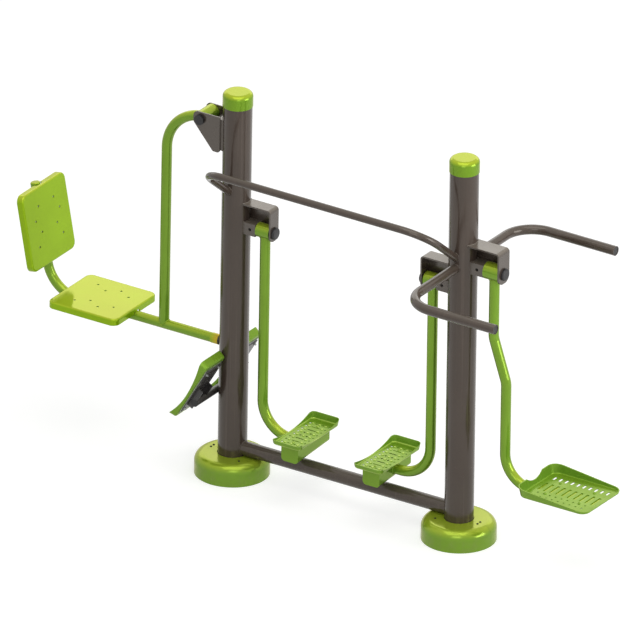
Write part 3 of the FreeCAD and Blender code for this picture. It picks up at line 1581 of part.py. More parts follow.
def make_mount_plate(name):
    """Flat plate welded on the tube under a panel, in the panel's frame."""
    low = "-(panel_face_height - seat_bar_dia / 2)"
    plate = block(name + "Blank", ("-mount_plate_side / 2", "-mount_plate_side / 2", low),
                  ("mount_plate_side", "mount_plate_side", "mount_plate_thick"))
    holes = []
    for index, (x, y) in enumerate(panel_spots()):
        holes.append(rod("%sHole%d" % (name, index), "Z", "panel_bolt_dia / 2", "panel_skirt",
                         (x, y, "-panel_skirt")))
    return cut(name, plate, *holes)


def make_panel_bolts(name):
    """Eight socket-head bolts through the bosses into the mounting plate."""
    bolts = []
    depth = "panel_face_height - seat_bar_dia / 2 + panel_bolt_dia"
    for index, (x, y) in enumerate(panel_spots()):
        shank = rod("%sShank%d" % (name, index), "Z", "panel_bolt_dia / 2",
                    "%s - panel_skin - panel_hole_floor" % depth,
                    (x, y, "-(%s)" % depth))
        head = rod("%sHead%d" % (name, index), "Z", "panel_head_dia / 2", "panel_head_thick",
                   (x, y, "-panel_skin - panel_hole_floor"))
        bolts.append(join("%sBolt%d" % (name, index), shank, head))
    return group(name, *bolts)


def on_seat(source, name):
    """Place a piece of the seat panel set."""
    item = doc.addObject("Part::Compound", name)
    item.Links = [source]
    put(item, "seat_middle", "0", "seat_bar_height + panel_face_height")
    return item


def on_back(source, name):
    """Place a piece of the back panel set, turned end for end, on the leaning tube."""
    half_turn = doc.addObject("Part::Compound", name + "Turned")
    half_turn.Links = [source]
    half_turn.Placement = Placement(Vector(0, 0, 0), Rotation(Z_AXIS, 180))
    item = doc.addObject("Part::Compound", name)
    item.Links = [half_turn]
    return back_frame(item, "back_middle", "panel_face_height")


panel = make_panel("Panel")
plate = make_mount_plate("MountPlate")
panel_bolts = make_panel_bolts("PanelBolts")
keep(on_seat(panel, "SeatPanel"), "seat_panel")
keep(on_back(panel, "BackPanel"), "back_panel")
keep(group("PanelPlates", on_seat(plate, "SeatPlate"), on_back(plate, "BackPlate")), "panel_plates")
keep(group("PanelBoltsAll", on_seat(panel_bolts, "SeatBolts"), on_back(panel_bolts, "BackBolts")),
     "panel_bolts")

# Foot rests of the leg press on the left post


rest_tube_x = "-post_dia / 2 - rest_tube_dia / 2"


def make_rest_tube():
    """Cross tube welded to the side of the post."""
    return ring("RestTube", "Y", "rest_tube_dia / 2", "rest_tube_dia / 2 - rest_tube_wall",
                "rest_tube_length", (rest_tube_x, "-rest_tube_length / 2", "rest_tube_height"))


def make_rest_tube_caps():
    """Round plugs over both ends of the cross tube."""
    caps = []
    for side, start in (("Near", "-rest_tube_length / 2 - rest_tube_cap"), ("Far", "rest_tube_length / 2")):
        caps.append(rod("RestCap" + side, "Y", "rest_tube_dia / 2", "rest_tube_cap",
                        (rest_tube_x, start, "rest_tube_height")))
    return group("RestCaps", *caps)


keep(make_rest_tube(), "foot_rest_tube")
keep(make_rest_tube_caps(), "foot_rest_tube_caps")


def rest_frame(source, name, side):
    """Turn a piece so that its length runs up towards +X and its top faces the seat."""
    turned_piece = doc.addObject("Part::Compound", name + "Turned")
    turned_piece.Links = [source]
    turned_piece.Placement = Placement(Vector(0, 0, 0), Rotation(Z_AXIS, -90))
    item = doc.addObject("Part::Compound", name)
    item.Links = [turned_piece]
    spin(item, Y_AXIS, "rest_tilt - 90")
    put(item, "rest_centre_x", side + "rest_middle", "rest_centre_z")
    return item


def rest_bolt_spots():
    """The four bolt places of a foot rest, across and along."""
    half_across = "rest_bolt_pitch / 2"
    half_along = "rest_bolt_along / 2"
    return [(sx + half_across, sy + half_along) for sx in ("", "-") for sy in ("", "-")]


def make_rest_tray():
    """Foot tray with four bolt holes."""
    tray = make_tray("RestTray", "rest_width", "rest_heel", "rest_low", "rest_toe", "rest_low_place",
                     inner_rows)
    holes = []
    for index, (x, y) in enumerate(rest_bolt_spots()):
        holes.append(rod("RestHole%d" % index, "Z", "pedal_bolt_dia / 2 + bolt_hole_gap",
                         "4 * tray_thick", (x, y, "-tray_thick")))
    return cut("RestTrayDrilled", tray, *holes)


def make_rest_plate():
    """Zinc-grey backing plate flat on the back of a foot rest tray."""
    sheet_metal = block("RestPlateBlank", ("-rest_bolt_pitch / 2 - rest_plate_margin",
                                           "-rest_plate_length / 2", "-rest_plate_thick"),
                        ("rest_bolt_pitch + 2 * rest_plate_margin", "rest_plate_length", "rest_plate_thick"))
    holes = []
    for index, (x, y) in enumerate(rest_bolt_spots()):
        holes.append(rod("RestPlateHole%d" % index, "Z", "pedal_bolt_dia / 2", "4 * rest_plate_thick",
                         (x, y, "-2 * rest_plate_thick")))
    return cut("RestPlate", sheet_metal, *holes)


def make_rest_bracket():
    """Open box welded to the cross tube behind the backing plate."""
    top = "-rest_plate_thick"
    outer = block("RestBox", ("-rest_bracket_width / 2", "-rest_bracket_below",
                              top + " - rest_bracket_depth"),
                  ("rest_bracket_width", "rest_bracket_below + rest_bracket_above", "rest_bracket_depth"))
    inner = block("RestBoxRoom", ("-rest_bracket_width / 2 + rest_bracket_wall",
                                  "-rest_bracket_below - rest_bracket_wall",
                                  top + " - rest_bracket_depth - rest_bracket_wall"),
                  ("rest_bracket_width - 2 * rest_bracket_wall",
                   "rest_bracket_below + rest_bracket_above + 2 * rest_bracket_wall", "rest_bracket_depth"))
    flange = block("RestFlange", ("-rest_bolt_pitch / 2 - rest_plate_margin", "-rest_flange_length / 2",
                                  top + " - rest_bracket_wall"),
                   ("rest_bolt_pitch + 2 * rest_plate_margin", "rest_flange_length", "rest_bracket_wall"))
    holes = []
    for index, (x, y) in enumerate(rest_bolt_spots()):
        holes.append(rod("RestBracketHole%d" % index, "Z", "pedal_bolt_dia / 2", "rest_bracket_depth",
                         (x, y, top + " - rest_bracket_depth")))
    return cut("RestBracket", join("RestBracketWeld", cut("RestBoxOpen", outer, inner), flange), *holes)


def make_rest_bolts():
    """Four bolts per foot rest, nuts and thread ends at the back."""
    bolts = []
    back = "rest_plate_thick + rest_bracket_wall"
    for index, (x, y) in enumerate(rest_bolt_spots()):
        shank = rod("RestShank%d" % index, "Z", "pedal_bolt_dia / 2",
                    "tray_thick + %s + rest_bolt_tail" % back,
                    (x, y, "-(%s) - rest_bolt_tail" % back))
        head = rod("RestHead%d" % index, "Z", "pedal_bolt_head / 2", "pedal_bolt_dia / 2",
                   (x, y, "tray_thick"))
        nut = hexagon("RestNut%d" % index, "Z", "pedal_bolt_head", "pedal_nut_thick",
                      (x, y, "-(%s) - pedal_nut_thick" % back))
        bolts.append(join("RestBolt%d" % index, shank, head, nut))
    return group("RestBolts", *bolts)


rest_tray = make_rest_tray()
rest_plate = make_rest_plate()
rest_bracket = make_rest_bracket()
rest_bolts = make_rest_bolts()
keep(rest_frame(rest_tray, "RestTrayNear", "-"), "foot_rest_near")
keep(rest_frame(rest_tray, "RestTrayFar", ""), "foot_rest_far")
keep(group("RestPlates", rest_frame(rest_plate, "RestPlateNear", "-"),
           rest_frame(rest_plate, "RestPlateFar", "")), "foot_rest_plates")
rest_room = rod("RestTubeRoom", "Y", "rest_tube_dia / 2", "rest_tube_length + 2 * rest_tube_cap",
                (rest_tube_x, "-rest_tube_length / 2 - rest_tube_cap", "rest_tube_height"))
keep(cut("RestBrackets", group("RestBracketPair", rest_frame(rest_bracket, "RestBracketNear", "-"),
                               rest_frame(rest_bracket, "RestBracketFar", "")), rest_room),
     "foot_rest_brackets")
keep(group("RestBoltsAll", rest_frame(rest_bolts, "RestBoltsNear", "-"),
           rest_frame(rest_bolts, "RestBoltsFar", "")), "foot_rest_bolts")

# Check every object and write one file per sub-part

doc.recompute()
for thing in doc.Objects:
    if "Invalid" in thing.State or "Error" in thing.State:
        raise RuntimeError("%s is %s" % (thing.Name, thing.State))
for node in nodes:
    if node.Shape.isNull() or not node.Shape.isValid():
        raise RuntimeError("%s has a bad shape" % node.Label)
os.makedirs("parts", exist_ok=True)
for node in nodes:
    node.Shape.exportStep("parts/%s.step" % node.Label)
    print(node.Label, len(node.Shape.Solids), round(node.Shape.Volume / 1000, 1))
print(len(nodes), "nodes")
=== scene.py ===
import math

import bmesh
import bpy
from mathutils import Matrix, Vector


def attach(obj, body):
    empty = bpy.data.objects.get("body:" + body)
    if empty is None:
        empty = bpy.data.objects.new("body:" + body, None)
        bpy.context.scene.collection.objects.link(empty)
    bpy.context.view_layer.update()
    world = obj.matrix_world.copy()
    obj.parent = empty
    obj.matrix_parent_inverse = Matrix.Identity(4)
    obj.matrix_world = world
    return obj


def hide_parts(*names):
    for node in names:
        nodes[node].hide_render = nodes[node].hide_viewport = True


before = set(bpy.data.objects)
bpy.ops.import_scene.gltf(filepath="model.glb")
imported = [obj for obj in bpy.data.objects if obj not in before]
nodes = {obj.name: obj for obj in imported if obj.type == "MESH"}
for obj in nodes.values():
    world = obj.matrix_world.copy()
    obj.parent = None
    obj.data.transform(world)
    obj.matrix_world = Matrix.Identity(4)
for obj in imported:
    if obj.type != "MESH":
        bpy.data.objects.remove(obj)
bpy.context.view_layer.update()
X_AXIS = Vector((1, 0, 0))
Y_AXIS = Vector((0, 1, 0))
Z_AXIS = Vector((0, 0, 1))

# Camera
# A nearly parallel view from the front right and above: turned 32.45 degrees, looking down
# 25.5 degrees, with the uprights leaning a little to the right.

turn = math.radians(32.45)
tilt = math.radians(25.5)
lean = 0.0160
picture_pixels = 640
metres_per_pixel = 1 / 212.43
post_foot_pixel = (232.0, 471.2)
camera_distance = 9
right = Vector((math.cos(turn), math.sin(turn), 0))
rise = Vector((-math.sin(turn) * math.sin(tilt), math.cos(turn) * math.sin(tilt), math.cos(tilt)))
towards = right.cross(rise)
across = right * math.cos(lean) + rise * math.sin(lean)
upward = rise * math.cos(lean) - right * math.sin(lean)
camera = bpy.data.objects.new("Camera", bpy.data.cameras.new("Camera"))
bpy.context.scene.collection.objects.link(camera)
camera.data.type = "ORTHO"
camera.data.ortho_scale = picture_pixels * metres_per_pixel
camera.data.clip_end = 100
middle = (across * (picture_pixels / 2 - post_foot_pixel[0]) * metres_per_pixel
          + upward * (post_foot_pixel[1] - picture_pixels / 2) * metres_per_pixel)
pose = Matrix((across, upward, towards)).transposed().to_4x4()
pose.translation = middle + towards * camera_distance
camera.matrix_world = pose
bpy.context.scene.camera = camera
bpy.context.scene.view_settings.view_transform = "Standard"

# Studio
# White floor and white surroundings. A tall lit panel far behind the object is what its flat
# glossy tops mirror. Three soft boxes, above, to the right and beside the camera, shape it.


def node_tree(owner):
    """Empty node tree of a material or world."""
    owner.use_nodes = True
    owner.node_tree.nodes.clear()
    return owner.node_tree


def add(tree, kind, **values):
    """New node with its attributes or input values set."""
    node = tree.nodes.new(kind)
    for key, value in values.items():
        if key in node.inputs:
            node.inputs[key].default_value = value
        elif key.replace("_", " ") in node.inputs:
            node.inputs[key.replace("_", " ")].default_value = value
        else:
            setattr(node, key, value)
    return node


def seen_directly(tree):
    """1 for rays that show the background itself, also in a mirror or through glass."""
    ray = add(tree, "ShaderNodeLightPath")
    shown = ray.outputs["Is Camera Ray"]
    for other in ("Is Glossy Ray", "Is Transmission Ray"):
        either = add(tree, "ShaderNodeMath", operation="MAXIMUM")
        tree.links.new(shown, either.inputs[0])
        tree.links.new(ray.outputs[other], either.inputs[1])
        shown = either.outputs[0]
    return shown


world = bpy.data.worlds.new("Studio")
bpy.context.scene.world = world
sky = node_tree(world)
plain = add(sky, "ShaderNodeBackground", Color=(1, 1, 1, 1), Strength=1)
dim = add(sky, "ShaderNodeBackground", Color=(0.97, 0.98, 1, 1), Strength=0.4)
pick = add(sky, "ShaderNodeMixShader")
out = add(sky, "ShaderNodeOutputWorld")
sky.links.new(seen_directly(sky), pick.inputs[0])
sky.links.new(dim.outputs[0], pick.inputs[1])
sky.links.new(plain.outputs[0], pick.inputs[2])
sky.links.new(pick.outputs[0], out.inputs[0])

reach = 20
floor_drop = 0.0005
floor_mesh = bpy.data.meshes.new("Floor")
floor_mesh.from_pydata([(-reach, -reach, 0), (reach, -reach, 0), (reach, reach, 0), (-reach, reach, 0)],
                       [], [(0, 1, 2, 3)])
floor = bpy.data.objects.new("Floor", floor_mesh)
bpy.context.scene.collection.objects.link(floor)
floor.location.z = -floor_drop
white = bpy.data.materials.new("FloorWhite")
ground = node_tree(white)
matte = add(ground, "ShaderNodeBsdfDiffuse", Color=(0.6, 0.6, 0.6, 1))
glow = add(ground, "ShaderNodeEmission", Color=(1, 1, 1, 1), Strength=0.6)
both = add(ground, "ShaderNodeAddShader")
pick = add(ground, "ShaderNodeMixShader")
out = add(ground, "ShaderNodeOutputMaterial")
ground.links.new(matte.outputs[0], both.inputs[0])
ground.links.new(glow.outputs[0], both.inputs[1])
ground.links.new(seen_directly(ground), pick.inputs[0])
ground.links.new(matte.outputs[0], pick.inputs[1])
ground.links.new(both.outputs[0], pick.inputs[2])
ground.links.new(pick.outputs[0], out.inputs[0])
floor_mesh.materials.append(white)


def soft_box(name, place, aim, width, height, power, colour):
    """Rectangular lamp at a place, aimed at a point."""
    lamp = bpy.data.lights.new(name, "AREA")
    lamp.shape = "RECTANGLE"
    lamp.size = width
    lamp.size_y = height
    lamp.energy = power
    lamp.color = colour
    holder = bpy.data.objects.new(name, lamp)
    bpy.context.scene.collection.objects.link(holder)
    holder.location = place
    holder.rotation_euler = (Vector(aim) - Vector(place)).to_track_quat("-Z", "Y").to_euler()


centre = Vector((0.55, 0, 0.9))
away = Vector((-towards.x, -towards.y, 0)).normalized()
soft_box("BackPanel", centre + away * 7 + Z_AXIS * 3.4, centre, 11, 3.2, 110, (1, 0.98, 0.94))
soft_box("TopBox", centre + Vector((0.9, -1.8, 6.8)), centre, 6, 6, 190, (1, 0.98, 0.95))
soft_box("SideBox", centre + Vector((9, 1.6, 2.6)), centre, 5, 5, 380, (1, 0.99, 0.97))
soft_box("FrontBox", centre + towards * 6, centre, 2.5, 2.5, 42, (1, 0.99, 0.97))

# Flange plates
# Two round 20 mm steel plates on the ground, hot-dip galvanised, each welded to the foot of its
# post and drilled for four anchor bolts. The base covers hide them.


def shade(red, green, blue):
    """Linear colour of an sRGB triple from 0 to 255."""
    return tuple((c / 255 / 12.92 if c <= 10.3 else ((c / 255 + 0.055) / 1.055) ** 2.4)
                 for c in (red, green, blue)) + (1.0,)


def feed(tree, value, socket):
    """Join a socket to an input, or set the input to a plain value."""
    if isinstance(value, bpy.types.NodeSocket):
        tree.links.new(value, socket)
    else:
        socket.default_value = value


def mix(tree, factor, first, second):
    """Blend of two colours."""
    node = add(tree, "ShaderNodeMix", data_type="RGBA")
    feed(tree, factor, node.inputs[0])
    feed(tree, first, node.inputs[6])
    feed(tree, second, node.inputs[7])
    return node.outputs[2]


def calc(tree, operation, *values):
    """Arithmetic on sockets and plain numbers."""
    node = add(tree, "ShaderNodeMath", operation=operation)
    for index, value in enumerate(values):
        feed(tree, value, node.inputs[index])
    return node.outputs[0]


def span(tree, value, low, high, first=0.0, last=1.0):
    """Smooth change from first to last while the value goes from low to high."""
    node = add(tree, "ShaderNodeMapRange", interpolation_type="SMOOTHSTEP")
    feed(tree, value, node.inputs["Value"])
    for key, number in (("From Min", low), ("From Max", high), ("To Min", first), ("To Max", last)):
        node.inputs[key].default_value = number
    return node.outputs[0]


def own_place(tree):
    """The piece's own coordinates, and their three parts."""
    place = add(tree, "ShaderNodeTexCoord").outputs["Object"]
    parts = add(tree, "ShaderNodeSeparateXYZ")
    tree.links.new(place, parts.inputs[0])
    return place, parts.outputs


def cloud(tree, place, scale, detail=3.0, stretch=(1, 1, 1)):
    """Noise over a piece's own coordinates, stretched along its axes."""
    if stretch != (1, 1, 1):
        mapping = add(tree, "ShaderNodeMapping", Scale=stretch)
        tree.links.new(place, mapping.inputs[0])
        place = mapping.outputs[0]
    node = add(tree, "ShaderNodeTexNoise", Scale=scale, Detail=detail)
    tree.links.new(place, node.inputs["Vector"])
    return node.outputs[0]


def finish_material(tree, colour, rough, relief, **constants):
    """Principled surface from a colour, a roughness and a list of (height, strength, depth)."""
    surface = add(tree, "ShaderNodeBsdfPrincipled")
    out = add(tree, "ShaderNodeOutputMaterial")
    feed(tree, colour, surface.inputs["Base Color"])
    feed(tree, rough, surface.inputs["Roughness"])
    for key, value in constants.items():
        surface.inputs[key.replace("_", " ")].default_value = value
    normal = None
    for height, strength, depth in relief:
        bump = add(tree, "ShaderNodeBump", Strength=strength, Distance=depth)
        tree.links.new(height, bump.inputs["Height"])
        if normal:
            tree.links.new(normal, bump.inputs["Normal"])
        normal = bump.outputs[0]
    tree.links.new(normal, surface.inputs["Normal"])
    tree.links.new(surface.outputs[0], out.inputs[0])


def dress(material, *names):
    """Give CAD nodes their material."""
    for name in names:
        for part in nodes[name].material_slots:
            part.material = material


def bare_metal(name, colour, dull, rough, grain, rust=0.0, spangle=0.0):
    """Uncoated metal: crystals or brushed grain, cloudy dullness and specks of rust."""
    material = bpy.data.materials.new(name)
    tree = node_tree(material)
    place = add(tree, "ShaderNodeTexCoord").outputs["Object"]
    blend = mix(tree, span(tree, cloud(tree, place, 40, 4), 0.35, 0.7), colour, dull)
    crystals = add(tree, "ShaderNodeTexVoronoi", Scale=90)
    tree.links.new(place, crystals.inputs["Vector"])
    cell = add(tree, "ShaderNodeSeparateColor")
    tree.links.new(crystals.outputs["Color"], cell.inputs[0])
    blend = mix(tree, calc(tree, "MULTIPLY", cell.outputs[0], spangle), blend,
                tuple(c * 0.6 for c in colour[:3]) + (1,))
    spots = span(tree, cloud(tree, place, 120, 5), 0.62, 0.72, 0.0, rust)
    blend = mix(tree, spots, blend, shade(112, 66, 36))
    gloss = calc(tree, "ADD", span(tree, cloud(tree, place, 25, 3), 0.3, 0.7, rough[0], rough[1]),
                 calc(tree, "MULTIPLY", spots, 0.4))
    finish_material(tree, blend, gloss, [(cloud(tree, place, 1, 3, grain), 0.2, 0.0002)], Metallic=0.92)
    return material


galvanised = bare_metal("HotDipZinc", shade(168, 172, 174), shade(128, 132, 134), (0.34, 0.52),
                        (400, 400, 400), rust=0.5, spangle=0.8)
dress(galvanised, "base_flange_left", "base_flange_right")

# Posts
# Two round steel tubes, 140 mm across, in a warm grey-brown powder coat. Each is welded to its
# flange plate and closed by a moulded cap.


def powder_coat(name, colour, painted_top_light, tint, rough, streak=0.0, dust=0.5, wear=0.12, band=None,
                tops=None, **constants):
    """Baked powder coat: orange peel, cloudy gloss, painted top light, dusty foot and scuffs.

    The lighter of the two colours is painted on upward faces as the light that falls from above. streak adds
    rain runs down the piece, wear the strength of its scuffs, band a second colour that takes over between
    two places along X, and tops the two heights over which stud crowns get a painted highlight.
    """
    material = bpy.data.materials.new(name)
    tree = node_tree(material)
    place, parts = own_place(tree)
    if band:
        other, start, end = band
        soft_edge = calc(tree, "ADD", parts[0], span(tree, cloud(tree, place, 60, 3), 0, 1, -0.003, 0.003))
        along = span(tree, soft_edge, start, end)
        colour_here = mix(tree, along, colour, other)
        painted_top_light_here = mix(tree, along, painted_top_light, other)
    else:
        colour_here, painted_top_light_here = colour, painted_top_light
    # Painted light: faces turned upward blend to the lighter colour, a painted highlight for the light from
    # above.
    facing = add(tree, "ShaderNodeSeparateXYZ")
    tree.links.new(add(tree, "ShaderNodeTexCoord").outputs["Normal"], facing.inputs[0])
    blend = mix(tree, span(tree, facing.outputs[2], 0.1, 0.98), colour_here, painted_top_light_here)
    pale = tuple(min(1, c * 1.5 + 0.01) for c in colour[:3]) + (1,)
    blend = mix(tree, span(tree, cloud(tree, place, 5, 4), 0.35, 0.7, 0.0, 0.16), blend, pale)
    # Painted highlight: the crowns of the studs, between the two tops heights, are lightened.
    if tops:
        stud_highlight = calc(tree, "MULTIPLY", span(tree, parts[2], *tops),
                      span(tree, parts[2], tops[1] + 0.001, tops[1] + 0.003, 1.0, 0.0))
        blend = mix(tree, calc(tree, "MULTIPLY", stud_highlight, 0.75), blend, shade(186, 214, 96))
    run = cloud(tree, place, 1, 3, (55, 55, 1.2))
    blend = mix(tree, span(tree, run, 0.5, 0.72, 0.0, streak), blend, pale)
    soil = calc(tree, "MULTIPLY", span(tree, parts[2], 0.0, 0.16, 1.0, 0.0),
                span(tree, cloud(tree, place, 26, 5), 0.4, 0.75, 0.1, 1.0))
    soil = calc(tree, "MULTIPLY", soil, dust)
    blend = mix(tree, soil, blend, shade(140, 128, 104))
    lines = calc(tree, "MAXIMUM", cloud(tree, place, 1, 5, (300, 45, 300)),
                 cloud(tree, place, 1, 5, (40, 320, 320)))
    scuff = span(tree, lines, 0.66, 0.76, 0.0, wear)
    blend = mix(tree, scuff, blend, tuple(min(1, c * 1.3 + 0.05) for c in colour[:3]) + (1,))
    gloss = calc(tree, "ADD", span(tree, cloud(tree, place, 9, 3), 0.3, 0.7, rough[0], rough[1]),
                 calc(tree, "MULTIPLY", soil, 0.4))
    gloss = calc(tree, "ADD", gloss, calc(tree, "MULTIPLY", scuff, 0.5))
    finish_material(tree, blend, gloss, [(cloud(tree, place, 260, 1), 0.25, 0.0002),
                                         (lines, 0.05 + wear / 4, 0.0002)],
                    Specular_Tint=tint, **constants)
    return material


# The lighter colour given to each powder coat is painted light on its upward faces.
brown_base = shade(71, 60, 53)
tube_brown = powder_coat("TubeBrown", brown_base, shade(88, 79, 70), (1, 0.95, 0.88, 1), (0.12, 0.24),
                         streak=0.5, Specular_IOR_Level=0.5)
dress(tube_brown, "post_left", "post_right")

POST_RADIUS = 0.070
LEFT_POST = Vector((0, 0, 0))
RIGHT_POST = Vector((1.270, 0, 0))

# Ground tube
# Straight 70 mm steel tube between the feet of the posts, coped and welded to both of them, in the
# same powder coat.


def piece(name, verts, faces, material, body, finish, stands_for=(), crease=32):
    """Finished mesh object that rides on a body and may stand for CAD nodes."""
    mesh = bpy.data.meshes.new(name)
    mesh.from_pydata(verts, [], faces)
    shape = bmesh.new()
    shape.from_mesh(mesh)
    bmesh.ops.recalc_face_normals(shape, faces=shape.faces)
    shape.to_mesh(mesh)
    shape.free()
    for face in mesh.polygons:
        face.use_smooth = True
    mesh.set_sharp_from_angle(angle=math.radians(crease))
    mesh.materials.append(material)
    item = bpy.data.objects.new(name, mesh)
    bpy.context.scene.collection.objects.link(item)
    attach(item, body)
    if stands_for:
        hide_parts(*stands_for)
    return item


def even(points, closed, step):
    """The same path with its points about a step apart."""
    ring = points + points[:1] if closed else points
    lengths = [(after - before).length for before, after in zip(ring, ring[1:])]
    total = sum(lengths)
    count = max(4, round(total / step))
    result = []
    for index in range(count if closed else count + 1):
        left = min(total * index / count, total - 1e-9)
        for leg, size in enumerate(lengths):
            if left <= size:
                break
            left -= size
        result.append(ring[leg].lerp(ring[leg + 1], left / size if size else 0))
    return result


def weld(name, body, material, finish, bead, *runs):
    """Ripple-backed weld beads along runs of (points, closed), half sunk in the joint."""
    verts = []
    faces = []
    sides = 8
    pitch = bead * 0.9
    for points, closed in runs:
        path = even(points, closed, pitch / 3)
        first = len(verts)
        count = len(path)
        for index, spot in enumerate(path):
            before = path[index - 1] if closed or index else spot
            after = path[(index + 1) % count] if closed or index + 1 < count else spot
            ahead = (after - before).normalized()
            aside = ahead.orthogonal().normalized()
            if abs(ahead.z) < 0.9:
                aside = ahead.cross(Z_AXIS).normalized()
            over = ahead.cross(aside)
            size = bead * (0.86 + 0.14 * (index % 3) / 2)
            if not closed:
                end = min(index, count - 1 - index)
                size *= min(1, 0.45 + 0.3 * end)
            for side in range(sides):
                angle = 2 * math.pi * side / sides
                verts.append(spot + (aside * math.cos(angle) + over * math.sin(angle)) * size)
        for index in range(count if closed else count - 1):
            here = first + index * sides
            there = first + (index + 1) % count * sides
            for side in range(sides):
                beside = (side + 1) % sides
                faces.append((here + side, here + beside, there + beside, there + side))
        if not closed:
            faces.append(tuple(first + side for side in range(sides)))
            faces.append(tuple(first + (count - 1) * sides + side for side in range(sides)))
    return piece(name, verts, faces, material, body, finish, crease=60)


def on_post(spot, ahead, post):
    """Where a line that runs into a post meets its surface."""
    flat = Vector((ahead.x, ahead.y, 0))
    offset = Vector((spot.x - post.x, spot.y - post.y, 0))
    square = flat.dot(flat)
    half = offset.dot(flat)
    rest = half * half - square * (offset.dot(offset) - POST_RADIUS ** 2)
    return spot + ahead * ((-half - math.sqrt(max(rest, 0))) / square)


def tube_foot(start, ahead, radius, post):
    """Closed line where a round tube that runs into a post meets it."""
    aside = ahead.cross(Z_AXIS).normalized()
    over = aside.cross(ahead)
    return [on_post(start + (aside * math.cos(a) + over * math.sin(a)) * radius, ahead, post)
            for a in (2 * math.pi * k / 48 for k in range(48))], True


dress(tube_brown, "ground_tube")
ground_radius = 0.0352
ground_line = RIGHT_POST / 2 + Z_AXIS * 0.1395
weld("GroundTubeWelds", "frame", tube_brown, "post_paint", 0.0035,
     tube_foot(ground_line, -X_AXIS, ground_radius, LEFT_POST),
     tube_foot(ground_line, X_AXIS, ground_radius, RIGHT_POST))

# Base covers
# Two half shells of 3 mm pressed sheet round the foot of each post, powder coated green, closed
# over the ground tube and held by four short screws each.

leaf_base = shade(115, 157, 46)
leaf_green = powder_coat("LeafGreen", leaf_base, shade(166, 188, 48), (1, 0.8, 0.4, 1),
                         (0.1, 0.2), dust=0.2, Metallic=0.3)
dress(leaf_green, "base_cover_left", "base_cover_right")


def lathe(place, axis, profile, sides=24):
    """Vertices and faces of a closed turned solid from (radius, height, hexagonal) rings."""
    aside = axis.orthogonal().normalized()
    over = axis.cross(aside)
    verts = []
    faces = []
    for radius, height, hexagonal in profile:
        for side in range(sides):
            angle = 2 * math.pi * side / sides
            reach = radius
            if hexagonal:
                reach *= math.cos(math.pi / 6) / math.cos(angle % (math.pi / 3) - math.pi / 6)
            verts.append(place + axis * height
                         + (aside * math.cos(angle) + over * math.sin(angle)) * reach)
    for ring in range(len(profile) - 1):
        for side in range(sides):
            beside = (side + 1) % sides
            faces.append((ring * sides + side, ring * sides + beside,
                          (ring + 1) * sides + beside, (ring + 1) * sides + side))
    faces.append(tuple(range(sides)))
    faces.append(tuple((len(profile) - 1) * sides + side for side in range(sides)))
    return verts, faces


def gather(solids):
    """One list of vertices and faces from several."""
    verts = []
    faces = []
    for more_verts, more_faces in solids:
        faces += [tuple(index + len(verts) for index in face) for face in more_faces]
        verts += more_verts
    return verts, faces


def thread(radius, low, high):
    """Profile rings of a screw thread between two heights."""
    pitch = radius / 2.8
    count = int((high - low) / pitch)
    rings = [(radius * 0.7, low, 0)]
    for index in range(count):
        rings += [(radius * 0.86, low + pitch * (index + 0.25), 0), (radius, low + pitch * (index + 0.75), 0)]
    return rings + [(radius, high, 0)]


def solids_of(node):
    """Lowest and highest corner of each separate solid in a CAD node."""
    mesh = nodes[node].data
    group = {}
    leader = list(range(len(mesh.vertices)))

    def lead(index):
        while leader[index] != index:
            leader[index] = leader[leader[index]]
            index = leader[index]
        return index

    for vertex in mesh.vertices:
        spot = tuple(round(c, 5) for c in vertex.co)
        leader[lead(vertex.index)] = lead(group.setdefault(spot, vertex.index))
    for edge in mesh.edges:
        leader[lead(edge.vertices[0])] = lead(edge.vertices[1])
    found = {}
    for vertex in mesh.vertices:
        found.setdefault(lead(vertex.index), []).append(vertex.co)
    boxes = [(Vector([min(c[k] for c in spots) for k in range(3)]),
              Vector([max(c[k] for c in spots) for k in range(3)])) for spots in found.values()]
    return sorted(boxes, key=lambda box: tuple(box[0]))


zinc = bare_metal("BrightZinc", shade(176, 178, 178), shade(140, 142, 142), (0.24, 0.4),
                  (260, 260, 40), rust=0.35)
screws = []
for low, high in solids_of("cover_screws"):
    spot = (low + high) / 2
    spot.z = high.z - 0.003
    screws.append(lathe(spot, Z_AXIS, thread(0.003, -0.022, -0.001) + [
        (0.0055, 0, 0), (0.0055, 0.0011, 0), (0.0050, 0.0021, 0), (0.0039, 0.0028, 0),
        (0.0028, 0.0030, 0), (0.0026, 0.0029, 1), (0.0024, 0.0012, 1), (0.0006, 0.0008, 0)]))
blackened = bare_metal("BlackenedSteel", shade(52, 50, 48), shade(34, 33, 32), (0.3, 0.46),
                       (260, 260, 40), rust=0.25)
piece("CoverScrews", *gather(screws), blackened, "frame", "zinc_steel", ["cover_screws"])

# Post caps
# Moulded green plastic caps with a crowned top and a rounded edge, one on each post. Each is
# pressed over the end of its tube.

moulded_base = shade(114, 158, 36)
moulded_green = powder_coat("MouldedGreen", moulded_base, shade(172, 190, 40),
                            (1, 0.8, 0.4, 1), (0.08, 0.16), dust=0.2, Metallic=0.3)
dress(moulded_green, "post_cap_left", "post_cap_right")

# Handlebar
# One bent steel tube, 36 mm across, in front of both posts, in the same powder coat. Its ends slope
# down and are coped and welded to them.

dress(tube_brown, "handlebar")
slope = math.radians(39)
bar_weld_radius = 0.0183
bar_post_height = 1.4292
bar_back = Vector((0, math.cos(slope), -math.sin(slope)))
bar_out = 0.2
bar_root = Vector((0, -bar_out, bar_post_height + bar_out * math.tan(slope)))
weld("HandlebarWelds", "frame", tube_brown, "post_paint", 0.003,
     tube_foot(bar_root, bar_back, bar_weld_radius, LEFT_POST),
     tube_foot(bar_root + RIGHT_POST, bar_back, bar_weld_radius, RIGHT_POST))

# Side handles
# Two bent tubes, 48 mm across, welded to the right post on either side of the swing board, with a
# moulded plug in each open end.

